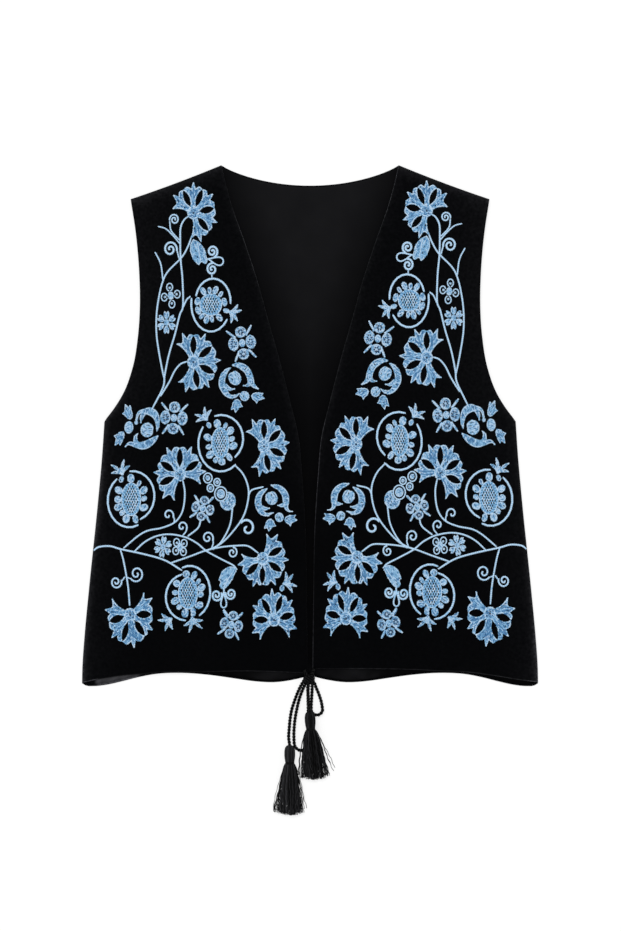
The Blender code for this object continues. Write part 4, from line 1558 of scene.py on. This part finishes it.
# %% Places of the carnations
Carnation = namedtuple("Carnation", "out up wide tall edges teeth")
CARNATIONS = (
    Carnation(128, 520, 27, 33, (171, 115, 69, 12, -50, -97), (139, 90, 44, -22, -75)),
    Carnation(128, 356, 29.5, 34, (134, 90, 40, -28, -80, -128), (111, 67, 4, -58, -105)),
    Carnation(50.5, 263.5, 28, 33, (142, 90, 44, -24, -78, -122), (114, 68, 9, -53, -99)),
    Carnation(143, 232.5, 28.5, 34, (259, 205, 147, 90, 35, -26), (234, 175, 116, 67, 7)),
    Carnation(51.7, 140, 28, 32.5, (83, 30, -34, -92, -136, -194), (59, -2, -64, -110, -167)),
    Carnation(197.5, 78.7, 27.5, 36.5, (419, 361, 305, 254, 198, 137), (397, 326, 277, 231, 169)),
    Carnation(39.6, 73, 26, 34, (236, 180, 120, 72, 16, -50), (211, 146, 94, 47, -21)),
)
DISC_SHARE = 0.225
SLIT_FROM = 0.25
SLIT_HALF = 0.118
CORNER = 0.86
TOOTH_HALF = 7.2
TOOTH_REACH = 1.03
RIM = ((0.3, 0.9), (0.58, 0.91), (0.84, 0.86), (1.0, 0.79))
FREE_RIM = ((0.16, 0.85), (0.36, 0.82), (0.56, 0.77), (0.8, 0.755), (1.0, 0.785))
VEINS = ((0.0, 0.5, 0.84), (-9.0, 0.52, 0.74), (9.0, 0.52, 0.74))
print("carnations on a front:", len(CARNATIONS))

# %% Draw a petal


def true_angle(degrees, wide, tall):
    """The angle on a unit circle of a direction on an ellipse."""
    turn = math.radians(degrees)
    round_angle = math.degrees(math.atan2(math.sin(turn) / tall, math.cos(turn) / wide))
    return round_angle + 360 * round((degrees - round_angle) / 360)


def petal(high, tooth, low, free_high, free_low):
    """A petal's outline on a unit circle, from its upper edge to its lower one, by angle."""

    def edge(angle, sign, free):
        reach = np.linspace(DISC_SHARE * 0.8, CORNER, 9)
        slit = SLIT_HALF * np.sin(math.pi * np.clip((reach - SLIT_FROM) / (CORNER - SLIT_FROM), 0, 1)) ** 0.8
        if free:
            slit = 0.5 * slit
        return polar(angle + sign * np.degrees(np.arcsin(slit / reach)), reach)

    def rim(angle, sign, free):
        span = sign * (tooth - sign * TOOTH_HALF - angle)
        return [polar(angle + sign * span * share, reach) for share, reach in (FREE_RIM if free else RIM)]

    points = list(edge(high, -1, free_high)) + rim(high, -1, free_high)
    points.append(polar(tooth, TOOTH_REACH))
    points += list(reversed(rim(low, 1, free_low))) + list(edge(low, 1, free_low))[::-1]
    return np.array(points)


print("points in a petal:", len(petal(30.0, 0.0, -30.0, False, False)))

# %% Sew a carnation


def carnation(row):
    place = place_of(row)
    half = np.array((row.wide, row.tall))
    edges = [true_angle(angle, *half) for angle in row.edges]
    teeth = [true_angle(angle, *half) for angle in row.teeth]
    made = []
    for number, tooth in enumerate(teeth):
        outline = petal(edges[number], tooth, edges[number + 1], number == 0, number == len(teeth) - 1)
        outline = place + outline * half
        made += shape(outline, row.teeth[number], edge=1.3)
        for lean, start, end in VEINS:
            vein = place + polar(np.full(2, tooth + lean), (start, end)) * half
            made += border(vein, wide=0.75, closed=False, shade=DEEP, lift=0.3)
    made += disc(place, (6.8, 7.3), lift=0.15)
    made += dots(place, (3.2, 3.5), 8, shade=DEEP, lift=0.7)
    return made + dots(place, (0.0, 0.0), 1, lift=1.0, size=(2.3, 2.0))


print("veins in a petal:", len(VEINS))

# %% [markdown]
# ## Pomegranates
#
# A pomegranate is a netted oval with seeds round it, inside two arcs of rope that leave gaps. No two are
# alike, so a row lists its seeds by angle and size. A sprig of four leaflets grows out of one gap. The net
# is two sets of slanted lines of stitches, and the dark cloth shows through its holes.

# %% Places of the pomegranates
Pomegranate = namedtuple("Pomegranate", "out up core seeds arcs")
POMEGRANATES = (
    Pomegranate(
        109, 419, (12.5, 12.3), "166w 119n 95m 72n 47m 12w -56n -85m -106n -128m -155w",
        ((2.5, 3.7, 19.3, 25.1, -5, 166), (0.1, 1.1, 21.6, 30.7, 169, 326)),
    ),
    Pomegranate(
        98.5, 267.3, (9.9, 17.3), "156B 99B 74m 51B 19s -13B -58n -85r -105s -131B -161s",
        ((1.0, 4.7, 24.1, 26.0, -51, 107), (0.5, -1.1, 24.7, 30.3, 142, 311)),
    ),
    Pomegranate(
        196.4, 205.4, (10.9, 18.5), "144B 91B 64m 36B 3s -33B -78n -104B -124s -149B -179r",
        ((1.5, 3.7, 24.1, 27.3, -69, 97), (-2.1, -1.7, 23.7, 29.1, 125, 294)),
    ),
    Pomegranate(
        134, 102.2, (10.9, 17.8), "139r 95r 71n 49m 23B -6s -47B -74s -98B -123s -149B 177s",
        ((2.1, 1.3, 22.4, 28.9, -62, 112), (-1.7, -4.3, 22.7, 25.6, 102, 267)),
    ),
)
SEED_SIZES = {
    "B": (4.9, 3.9),
    "r": (4.0, 4.0),
    "s": (3.5, 2.8),
    "n": (4.9, 3.0),
    "m": (3.8, 2.3),
    "w": (3.0, 4.8),
}
NET_STEP = 2.5
NET_ANGLES = (64.0, -64.0)
print("pomegranates on a front:", len(POMEGRANATES))

# %% Sew a pomegranate


def ellipse_share(point, half):
    """Below 1 inside an oval round the origin, above 1 outside it."""
    return float(np.sum((np.asarray(point) / np.asarray(half)) ** 2))


def netting(place, half):
    """Lines of stitches at two slants inside an oval."""
    made = []
    ring = ellipse((0.0, 0.0), half)
    for degrees in NET_ANGLES:
        along = polar(degrees)
        aside = np.array((-along[1], along[0]))
        reach = float(np.max(np.abs(ring @ aside)))
        for row in np.arange(-reach + NET_STEP / 2, reach, NET_STEP):
            line = [u * along + row * aside for u in np.arange(-30.0, 30.0, 0.5)]
            inner = [point for point in line if ellipse_share(point, half) < 1]
            if len(inner) >= 4:
                ends = np.array((inner[0], inner[-1])) + place
                made += border(ends, wide=1.2, closed=False, lift=0.05, dull=0.5)
    return made


def seed(place, core, mark):
    """One seed on the rim of the core. Those at the right lean up a little."""
    degrees = float(mark[:-1])
    half = SEED_SIZES[mark[-1]]
    reach = 1 / math.sqrt(ellipse_share(polar(degrees), core))
    tilt = 0.4 * degrees + 38 if -50 < degrees < 90 and mark[-1] != "w" else degrees
    return disc(place + polar(degrees, reach + 0.9 * half[0]), half, degrees=tilt, tilt=tilt, edge=1.1)


def pomegranate(row):
    place = place_of(row)
    core = np.array(row.core)
    made = netting(place, core - 2.8)
    made += rope(closed_ring(place, core - 1.7), wide=3.2, ends=(1, 1), shades=(MIDDLE, BRIGHT, MIDDLE, DEEP))
    made += border(ellipse(place, core - 0.5), wide=1.2)
    for right, higher, wide, tall, start, end in row.arcs:
        made += rope(ellipse(place + (right, higher), (wide, tall), start, end), wide=2.5)
    for mark in row.seeds.split():
        made += seed(place, core, mark)
    return made


print("sizes of seeds:", len(SEED_SIZES))

# %% [markdown]
# ## Sprigs, moons and rosettes
#
# A sprig is a bud with four pointed leaflets. A moon is a pair of crescents that curl round a berry, with
# forked tails, a disc and two buds below. A rosette is four discs round a fifth, with thin spikes between
# them. Each is drawn on its own axis and turned into place.

# %% Places of sprigs, moons and rosettes
Sprig = namedtuple("Sprig", "out up degrees long short heel")
SPRIGS = (
    Sprig(89.1, 411.4, -20, 14.2, 13.4, (3.0, 180)),
    Sprig(112.8, 292.1, 128, 15.2, 13.2, (5.6, 160)),
    Sprig(205.7, 232.1, 112, 17.2, 13.4, (5.2, 140)),
    Sprig(129.8, 75.9, -74, 17.0, 13.4, (4.3, 141)),
    Sprig(151.8, 74.8, 215, 15.6, 13.0, None),
    Sprig(29.7, 112.2, 18, 15.6, 14.6, (4.6, 238)),
)
SPRIG_LEANS = (25, -25, 55, -55)
Horn = namedtuple("Horn", "line widths prong prong_wide")
UPPER_HORNS = {
    "chest": Horn(
        ((16, -0.9), (15.2, 4.4), (11.3, 10.8), (4.7, 15.4), (-2, 16.2), (-8.6, 15.4), (-13, 12.4),
         (-14.4, 7), (-13.4, 2)),
        (1.0, 4.6, 6.4, 7.0, 7.6, 6.6, 4.4, 3.6, 0.8),
        ((1.5, 13.4), (-3.2, 11.4), (-5.8, 8.6), (-6.8, 4.8)), 5.2,
    ),
    "side": Horn(
        ((11.9, -0.3), (11.9, 7), (10.2, 13.4), (6.6, 18.5), (1.4, 20.7), (-3.6, 20.1), (-9, 18.8),
         (-11.1, 15.9), (-11.7, 11.4), (-12, 8.7)),
        (0.8, 3.4, 5.0, 7.0, 8.8, 8.8, 5.8, 3.6, 2.6, 2.4),
        ((-3.8, 18.7), (-5.9, 15.9), (-6.9, 10.8), (-7, 6.7)), 5.0,
    ),
    "waist": Horn(
        ((15, 2.4), (13.3, 7.7), (10.8, 12.5), (6.5, 15.6), (1.3, 17.2), (-4.5, 17.2), (-9.7, 15.3),
         (-12.6, 11.1), (-12.4, 6.4), (-12.6, 3.5)),
        (0.8, 4.4, 6.0, 7.0, 7.4, 7.0, 6.4, 4.4, 3.0, 0.8), ((-2.8, 15), (-5.7, 11.2), (-6.5, 6.3)), 5.0,
    ),
}
LOWER_HORNS = {
    "chest": Horn(
        ((17.6, -3.1), (16.4, -7.6), (12.1, -12.4), (5.5, -15.6), (-3, -15.5), (-9.2, -14.6),
         (-13.5, -15.6), (-18.3, -18.6)),
        (1.4, 5.6, 7.6, 7.4, 7.2, 6.2, 4.4, 1.2),
        ((-3.6, -14.6), (-7.6, -12.8), (-9.2, -9.2), (-7.4, -4.6)), 5.4,
    ),
    "side": Horn(
        ((14, -4.4), (11.5, -7.5), (6.6, -12.5), (1.5, -16.4), (-3.9, -18), (-8.5, -16.6),
         (-10.5, -12.4), (-10.6, -8.6), (-8.3, -4.5)),
        (0.8, 5.2, 7.6, 8.6, 8.8, 7.2, 5.0, 3.8, 0.8),
        ((-7.3, -18.4), (-10.6, -17.9), (-15.2, -16.9), (-18.8, -18.4), (-20.6, -21.4)), 5.4,
    ),
    "waist": Horn(
        ((17.6, -1.8), (15.1, -5.4), (12.1, -9.8), (7.1, -12.8), (1.6, -14), (-4.4, -12.8),
         (-9.7, -11.2), (-13.9, -11.5), (-16.4, -13.7), (-17.4, -16.9)),
        (0.8, 4.4, 5.5, 7.0, 7.4, 7.4, 6.6, 4.6, 2.6, 0.6), ((-7.9, -11.1), (-7.4, -6.6), (-6.1, -2.6)),
        5.0,
    ),
}
Moon = namedtuple("Moon", "horns out up axis fruit discs bud_size buds")
MOONS = (
    Moon(
        "chest", 80.9, 335.0, 115, (4.0, 0.0, 8.2, 6.8), ((-18.5, -1.2, 5.5, 5.2),), (0.88, 1.04),
        ((-24.2, 10.6, 148), (-25.7, -13.5, -128)),
    ),
    Moon(
        "side", 179.9, 281.6, -7, (1.1, 0.1, 7.3, 7.9), ((-19.2, 0.4, 4.9, 6.7), (-11.9, 6.6, 2.0, 2.2)),
        (1.04, 0.96), ((-22.4, 16.5, 118), (-28.4, -12.3, -115)),
    ),
    Moon(
        "waist", 40.0, 203.8, 107, (3.6, 1.3, 7.7, 6.6), ((-19.2, -0.7, 5.2, 4.8),), (0.82, 1.06),
        ((-24.0, 11.2, 156), (-25.7, -11.4, -112)),
    ),
)
Rosette = namedtuple("Rosette", "out up side tall turn disc reach spikes")
ROSETTES = (
    Rosette(74.6, 377.0, 9.6, 12.1, 8, 6.1, 22.0, (63, 143, -45, -110)),
    Rosette(149.5, 294.8, 9.4, 11.8, -4, 6.1, 21.5, (129, 44, 234, -60)),
    Rosette(117.7, 195.3, 8.0, 8.9, -12, 5.0, 17.5, (47, 122, 214, -64)),
    Rosette(86.4, 67.7, 7.9, 10.0, -12, 5.3, 18.4, (47, 119, 214, -64)),
)
BUD = (
    (-8.2, 0.0), (-6.4, -3.2), (-2.0, -5.0), (3.0, -5.4), (6.6, -5.8), (5.0, -2.8), (9.6, -0.6),
    (4.6, 2.0), (2.4, 3.0), (1.0, 6.6), (-1.6, 4.6), (-5.4, 3.4),
)
print(len(SPRIGS), "sprigs,", len(MOONS), "moons and", len(ROSETTES), "rosettes on a front")

# %% Sew sprigs


def sprig(row):
    place = place_of(row)
    made = []
    if row.heel:
        heel = place + polar(row.degrees + row.heel[1], row.heel[0])
        made += disc(heel, (3.6, 2.6), row.degrees, row.degrees + row.heel[1], edge=1.0)
    made += fill(ellipse(place + polar(row.degrees, 4.0), (4.6, 2.2), tilt=row.degrees), row.degrees, PALE)
    for number, lean in enumerate(SPRIG_LEANS):
        reach = row.long if number < 2 else row.short
        made += leaflet(place, row.degrees + lean * 0.4, row.degrees + lean * 1.62, reach, 0.12 * number)
    return made


def leaflet(place, degrees, end_degrees, length, lift):
    """A leaflet that leaves at one angle and ends at another."""
    share = np.linspace(0.0, 1.0, 9)
    steps = polar(degrees + (end_degrees - degrees) * share, length / 8)
    line = np.asarray(place) + np.concatenate((np.zeros((1, 2)), np.cumsum(steps[1:], axis=0)))
    outline = stroke(line, LEAFLET_WIDE, LEAFLET_PROFILE)
    return shape(outline, degrees, edge=0.95, lift=lift, shades=PALE)


print("leaflets in a sprig:", len(SPRIG_LEANS))

# %% Sew moons


def turned(points, place, degrees):
    """Points of a motif's own axes, turned and moved to their place."""
    along = polar(degrees)
    aside = np.array((-along[1], along[0]))
    points = np.asarray(points, float)
    return np.asarray(place) + points[..., :1] * along + points[..., 1:] * aside


def moon(row):
    place = place_of(row)
    made = []
    for horn in (UPPER_HORNS[row.horns], LOWER_HORNS[row.horns]):
        profile = tuple(zip(np.linspace(0.0, 1.0, len(horn.widths)), horn.widths))
        back = stroke(turned(smooth_route(horn.line), place, row.axis), 1.0, profile)
        prong = turned(smooth_route(horn.prong), place, row.axis)
        made += shape(stroke(prong, horn.prong_wide, TAIL_PROFILE), row.axis + 90, edge=1.0)
        made += shape(back, row.axis + 90, lift=0.1)
    centre, aside, half_along, half_aside = row.fruit
    fruit = ellipse((0.0, 0.0), (half_along, half_aside))
    turns = np.degrees(np.arctan2(fruit[:, 1], fruit[:, 0]))
    fruit *= 1 - 0.16 * np.exp(-((turns / 16) ** 2))[:, None]
    made += shape(turned(fruit + (centre, aside), place, row.axis), row.axis, shades=PALE)
    seam = turned(((centre - half_along, aside), (centre + 0.8 * half_along, aside)), place, row.axis)
    made += border(seam, wide=1.1, closed=False)
    for along, aside, *half in row.discs:
        made += disc(turned((along, aside), place, row.axis), half, row.axis, row.axis, edge=1.0)
    for along, aside, lean in row.buds:
        mirror = 1 if aside > 0 else -1
        bud = turned(np.array(BUD) * row.bud_size * (1, mirror), (0.0, 0.0), row.axis + lean)
        made += shape(turned((along, aside), place, row.axis) + bud, row.axis + lean, edge=1.0)
    return made


print("horns drawn for moons:", len(UPPER_HORNS) + len(LOWER_HORNS))

# %% Sew rosettes


def rosette(row):
    place = place_of(row)
    made = []
    for degrees in row.spikes:
        start = row.disc * 1.5
        made += spike(place + polar(degrees, start), degrees, row.reach - start)
    for number in range(4):
        degrees = row.turn + 90 * number
        reach = row.side if number % 2 == 0 else row.tall
        half = (row.disc * 0.92, row.disc * 1.22) if number % 2 == 0 else (row.disc, row.disc)
        centre = place + polar(degrees, reach)
        made += disc(centre, half, degrees, tilt=row.turn, spot=0.4, lift=0.1)
    return made + disc(place, (3.6, 4.3), edge=1.2, lift=0.2)


print("spikes in a rosette:", len(ROSETTES[0].spikes))

# %% [markdown]
# ## Leaves, small flowers and berries
#
# Two long leaves carry a pair of spirals and a small loop. Between the stems grow a flower of six petals
# and a scroll of four spirals, on each front twice, and one cluster of berries.

# %% Places of leaves, small flowers and berries
Leaf = namedtuple("Leaf", "out up degrees length wide form")
FORKED = (
    (0, 0), (5, 0.62), (12, 1), (20, 1), (26.5, 0.95), (29.5, 0.75), (31, 0.47), (26.3, 0.04),
    (29.6, -0.48), (22, -0.95), (12, -1), (4, -0.6),
)
NOTCHED = (
    (0, 0.3), (2.5, 0.79), (10.8, 0.72), (19, 0.64), (26.7, 0.39), (31.2, 0.07), (30.6, -0.34),
    (28, -0.71), (22.6, -0.7), (22.6, -1.08), (10.6, -1.09), (5.3, -0.73), (1.4, -0.32),
)
LEAF_VEIN = ((5, 0.4), (17, 0.13), (25.5, 0.02))
LEAVES = (Leaf(128.2, 491.2, -71, 31.0, 15.6, FORKED), Leaf(85.3, 132.0, -112, 27.5, 15.8, NOTCHED))
Curl = namedtuple("Curl", "out up radius start turns wide")
CURLS = (
    Curl(107.2, 477.5, 5.9, -70, 1.6, 2.6),
    Curl(107.5, 458.2, 5.8, 80, 1.5, 2.6),
    Curl(102.5, 100.2, 5.9, 20, -1.6, 2.5),
    Curl(87.0, 101.8, 5.7, 170, 1.6, 2.5),
    Curl(149.0, 512.6, 5.3, 185, -1.6, 1.9),
    Curl(153.4, 480.0, 7.4, -12, 1.6, 2.5),
    Curl(155.6, 188.0, 5.8, -20, 1.0, 2.1),
    Curl(140.4, 175.2, 5.4, -25, 1.05, 2.1),
    Curl(112.4, 163.0, 6.2, -25, 1.3, 2.1),
    Curl(69.0, 173.6, 8.6, 140, -1.05, 2.8),
    Curl(85.3, 147.0, 5.4, 75, -1.3, 2.0),
    Curl(190.6, 123.6, 7.8, 215, 1.5, 2.1),
    Curl(213.0, 114.6, 6.2, 15, -1.5, 2.1),
)
Small = namedtuple("Small", "out up side tall turn")
SMALL_FLOWERS = (Small(157.6, 399.6, 10.3, 12.0, 90), Small(161.5, 153.2, 9.6, 11.2, 81))
SCROLLS = (Small(152.9, 429.0, 7.2, 9.4, 100), Small(142.8, 153.0, 5.9, 6.6, 39))
Ring = namedtuple("Ring", "out up outer inner")
BERRIES = (
    Ring(98.0, 211.4, 8.0, 4.6),
    Ring(109.4, 217.8, 4.6, 1.9),
    Ring(102.0, 224.2, 4.6, 1.9),
    Ring(112.2, 228.8, 5.8, 2.6),
)
BERRY_BUD = (-90.4, 203.4)
SMALL_PETAL = (
    (0.25, 0.0), (0.37, 0.14), (0.52, 0.25), (0.7, 0.3), (0.86, 0.3), (1.05, 0.19), (0.87, 0.02),
    (1.05, -0.16), (0.88, -0.29), (0.7, -0.3), (0.52, -0.25), (0.37, -0.14),
)
print(len(CURLS), "spirals,", len(SMALL_FLOWERS), "small flowers and", len(BERRIES), "berries on a front")

# %% Sew leaves, small flowers and berries


def leaf(row):
    """A blade that ends in two points, with a pale vein."""
    place = place_of(row)
    stretch = np.array((row.length / 31, row.wide / 2))
    outline = turned(np.array(row.form) * stretch, place, row.degrees)
    vein = turned(np.array(LEAF_VEIN) * stretch, place, row.degrees)
    closed = np.concatenate((outline, outline[:1]))
    made = shape(even_steps(closed, 2.0)[:-1], row.degrees, edge=1.0, shades=EVEN)
    return made + border(even_steps(vein, 2.0), wide=1.1, closed=False, lift=0.6, dull=0.0)


def small_flower(row):
    place = place_of(row)
    made = []
    for number in range(6):
        degrees = row.turn + 60 * number
        petal_line = turned(np.array(SMALL_PETAL), (0.0, 0.0), degrees) * (row.side, row.tall)
        made += shape(place + petal_line, degrees, edge=0.8, shades=PALE)
    return made + disc(place, (2.8, 3.5), edge=0.8, lift=0.1)


def scroll(row):
    """Four curls round a disc. Each is most of a ring with a knot of thread in its middle."""
    place = place_of(row)
    made = disc(place, (3.3, 4.5), edge=1.0)
    for number in range(4):
        degrees = row.turn + 90 * number
        centre = place + polar(degrees) * (row.side, row.tall)
        curl = ellipse(centre, (3.2, 4.2), degrees - 170, degrees + 150)
        made += rope(curl, wide=1.5, ends=(0.8, 1.0))
        made += border(ellipse(centre - 0.7 * polar(degrees), (0.8, 0.9)), wide=1.5)
    return made


def berry(row):
    place = place_of(row)
    made = rope(closed_ring(place, np.array((0.92, 1.08)) * (row.outer - 0.8)), wide=1.7, ends=(1, 1))
    return made + disc(place, (row.inner, row.inner * 1.15), edge=1.1)


def berry_bud():
    """The round bud under the first ring. It leaves the ring's own place free."""
    first = BERRIES[0]
    middle = place_of(first)
    made = disc(BERRY_BUD, (8.8, 10.4), 60.0)
    made += dots(BERRY_BUD, (5.4, 6.6), 11, shade=DEEP) + dots(BERRY_BUD, (2.4, 3.2), 5, shade=DEEP)
    return [one for one in made if math.hypot(one.x - middle[0], (one.up - middle[1]) * 0.88) > first.outer]


def loop_of_rope(place, degrees, length, wide):
    """A narrow loop that starts and ends at one point."""
    turns = np.radians(np.linspace(0.0, 360.0, 26))
    line = np.stack((length / 2 * (1 - np.cos(turns)), wide / 2 * np.sin(turns)), axis=1)
    line[:, 1] *= 1.5 * (line[:, 0] / length) ** 0.9
    return rope(turned(line, place, degrees), wide=1.9, ends=(1, 1))


print("points in a small petal:", len(SMALL_PETAL))

# %% [markdown]
# ## Stems
#
# The stems branch over each front from the side seam. Each is a smooth line through a few points, and a
# rope of stitches follows it.

# %% Places of the stems
STEM_SLIMMING = 0.9
Stem = namedtuple("Stem", "wide points")
STEMS = (
    Stem(2.5, ((237.4, 149.5), (232, 153), (220, 154), (207, 150.5), (181.5, 145), (159.5, 138.5),
        (141, 127.5))),
    Stem(2.3, ((192.5, 148.5), (181.5, 158.5), (168.5, 165), (154, 167), (137.5, 164), (124.5, 157.5),
        (113.5, 148.5), (97, 139.5), (84.5, 133), (80.5, 128.5))),
    Stem(2.3, ((153, 135.5), (134, 142), (113.5, 149.5), (97, 153), (80.5, 154.5), (68, 154),
        (57, 146.5))),
    Stem(2.3, ((139.5, 225.5), (137.5, 213.5), (138.5, 199), (142, 188), (149.5, 179.5), (163, 174),
        (178, 171), (189, 165), (204.5, 152))),
    Stem(2.3, ((208, 149.5), (204.5, 136.5), (200, 111), (198, 89))),
    Stem(2.3, ((82.5, 243), (73.5, 233), (68, 219), (68, 204.5), (73.5, 186), (86, 168.5), (99, 156),
        (114.5, 148.5))),
    Stem(2.2, ((68, 208), (64, 215.5), (51.5, 219))),
    Stem(2.2, ((85, 196), (88, 177), (97, 159.5), (106.5, 150.5))),
    Stem(2.3, ((120, 182.5), (123, 174), (134, 165))),
    Stem(1.9, ((149.5, 179.5), (148.8, 183), (150.2, 187))),
    Stem(1.9, ((139.5, 166), (136.2, 170), (135.6, 173))),
    Stem(1.9, ((108, 152), (106.3, 157), (106.8, 161))),
    Stem(1.9, ((76.5, 182), (75.2, 180.5))),
    Stem(1.9, ((84.5, 154.5), (84, 152))),
    Stem(1.9, ((202, 120), (198, 118.5))),
    Stem(1.9, ((203.5, 120), (206, 116.5))),
    Stem(2.4, ((133.5, 516), (138, 512.5), (142, 504), (142.5, 490.5), (142, 468.5), (140, 446.5),
        (139.5, 418), (143, 408), (148.5, 386), (155, 364), (159.5, 342), (161.5, 328), (174, 303.5))),
    Stem(2.2, ((139.5, 416), (135.5, 424.5), (131.5, 428))),
    Stem(2.3, ((130, 494), (134, 483), (141, 471), (156, 455.5), (162, 443.5), (166, 427), (168.5, 408),
        (168.5, 386), (165, 362), (160.5, 339))),
    Stem(2.0, ((170, 476.5), (164, 464), (161.5, 446.5))),
    Stem(1.9, ((166.5, 505), (158.5, 502.5), (150.5, 495), (143, 486))),
    Stem(1.9, ((154, 510.5), (152.5, 500.5), (144, 490.5))),
    Stem(2.0, ((146, 478.5), (143.8, 470))),
    Stem(2.3, ((135.5, 356.5), (142, 354), (148.5, 346.5), (155, 333.5), (164, 319))),
    Stem(2.2, ((94.5, 107.5), (94.7, 101.5))),
    Stem(1.8, ((94.5, 84.5), (90, 78))),
    Stem(1.8, ((107.8, 452.5), (107.8, 448.5))),
)
print("stems on a front:", len(STEMS))

# %% Sew a stem


def stem(row):
    return rope(smooth_route([(-out, up) for out, up in row.points]), row.wide * STEM_SLIMMING)


print("stitches in the first stem:", len(stem(STEMS[0])))

# %% [markdown]
# ## Sew both fronts
#
# The design is sewn on the left front and mirrored on the right one, where it lies a few millimetres
# higher, as it does on a vest whose two fronts went through the machine one after the other. Every point
# of a stitch takes its height from the cloth under it, so the embroidery follows the folds. Near the hem
# part of the thread is painted a shade deeper, more on the right front: painted shade, where the light
# falls off towards the hem.

# %% Copy the stitch into place
RIGHT_LIFT = ((60.0, 1.5), (238.0, 1.7), (300.0, 3.3), (320.0, 5.0), (480.0, 4.6), (520.0, 2.2))
ARCH = 0.34
SUNK = 0.05
STITCH_TALL = 0.8
# Painted shade towards the hem: the share of stitches that are made a shade deeper.
LOW_DEEPER = {-1: ((70.0, 0.28), (140.0, 0.0)), 1: ((70.0, 0.42), (140.0, 0.0))}
shade_dice = np.random.default_rng(5)


def sew(name, stitches, side):
    """One mesh of many stitches on a front."""
    rows = np.array(stitches, float)
    x, up, turn, length, wide, lift, shade = rows.T
    # Painted shade: low stitches drop one shade, where the light falls off.
    deeper = shade_dice.random(len(rows)) < between(LOW_DEEPER[side], up)
    shade = np.where(deeper & (shade > DEEP) & (shade < DUSK), shade - 1, shade)
    if side > 0:
        x = -x
        turn = math.pi - turn
        up = up + between(RIGHT_LIFT, up)
    unit = STITCH_PLACES
    along = unit[None, :, 0] * length[:, None]
    aside = unit[None, :, 1] * wide[:, None]
    places_x = x[:, None] + along * np.cos(turn)[:, None] - aside * np.sin(turn)[:, None]
    places_up = up[:, None] + along * np.sin(turn)[:, None] + aside * np.cos(turn)[:, None]
    arch = ARCH * (1 - 4 * unit[None, :, 0] ** 2) + unit[None, :, 2] * STITCH_TALL * wide[:, None]
    surface = front_top(side, places_x.ravel(), places_up.ravel()).reshape(places_x.shape)
    height = surface + arch + lift[:, None] - SUNK
    places = np.stack((places_x, places_up - HEM_TO_NECK / 2, height), axis=-1).reshape(-1, 3)
    starts = np.arange(len(rows)) * len(unit)
    faces = (STITCH_FACES[None] + starts[:, None, None]).reshape(-1, 3)
    made = mesh_piece(name, places, faces.tolist())
    settle(made, threads, numbers=np.repeat(shade.astype(int), len(STITCH_FACES)))


print("a stitch stands", ARCH, "mm over its ends")

# %% Sew the whole design


def gathered(function, rows):
    return [stitch for row in rows for stitch in function(row)]


DESIGN = {
    "carnations": gathered(carnation, CARNATIONS),
    "pomegranates": gathered(pomegranate, POMEGRANATES) + gathered(sprig, SPRIGS),
    "moons_and_rosettes": gathered(moon, MOONS) + gathered(rosette, ROSETTES),
    "leaves_and_small_flowers": gathered(leaf, LEAVES)
    + gathered(lambda row: spiral((-row.out, row.up), *row[2:]), CURLS)
    + gathered(small_flower, SMALL_FLOWERS)
    + gathered(scroll, SCROLLS)
    + gathered(berry, BERRIES)
    + berry_bud()
    + loop_of_rope((-112.3, 469.4), -12.0, 17.4, 9.0)
    + loop_of_rope((-94.8, 103.0), -90.0, 16.6, 6.2),
    "stems": gathered(stem, STEMS),
}
for title, stitches in DESIGN.items():
    for side, word in ((-1, "left"), (1, "right")):
        sew(f"{title}_{word}", stitches, side)
print("stitches on both fronts:", 2 * sum(len(stitches) for stitches in DESIGN.values()))
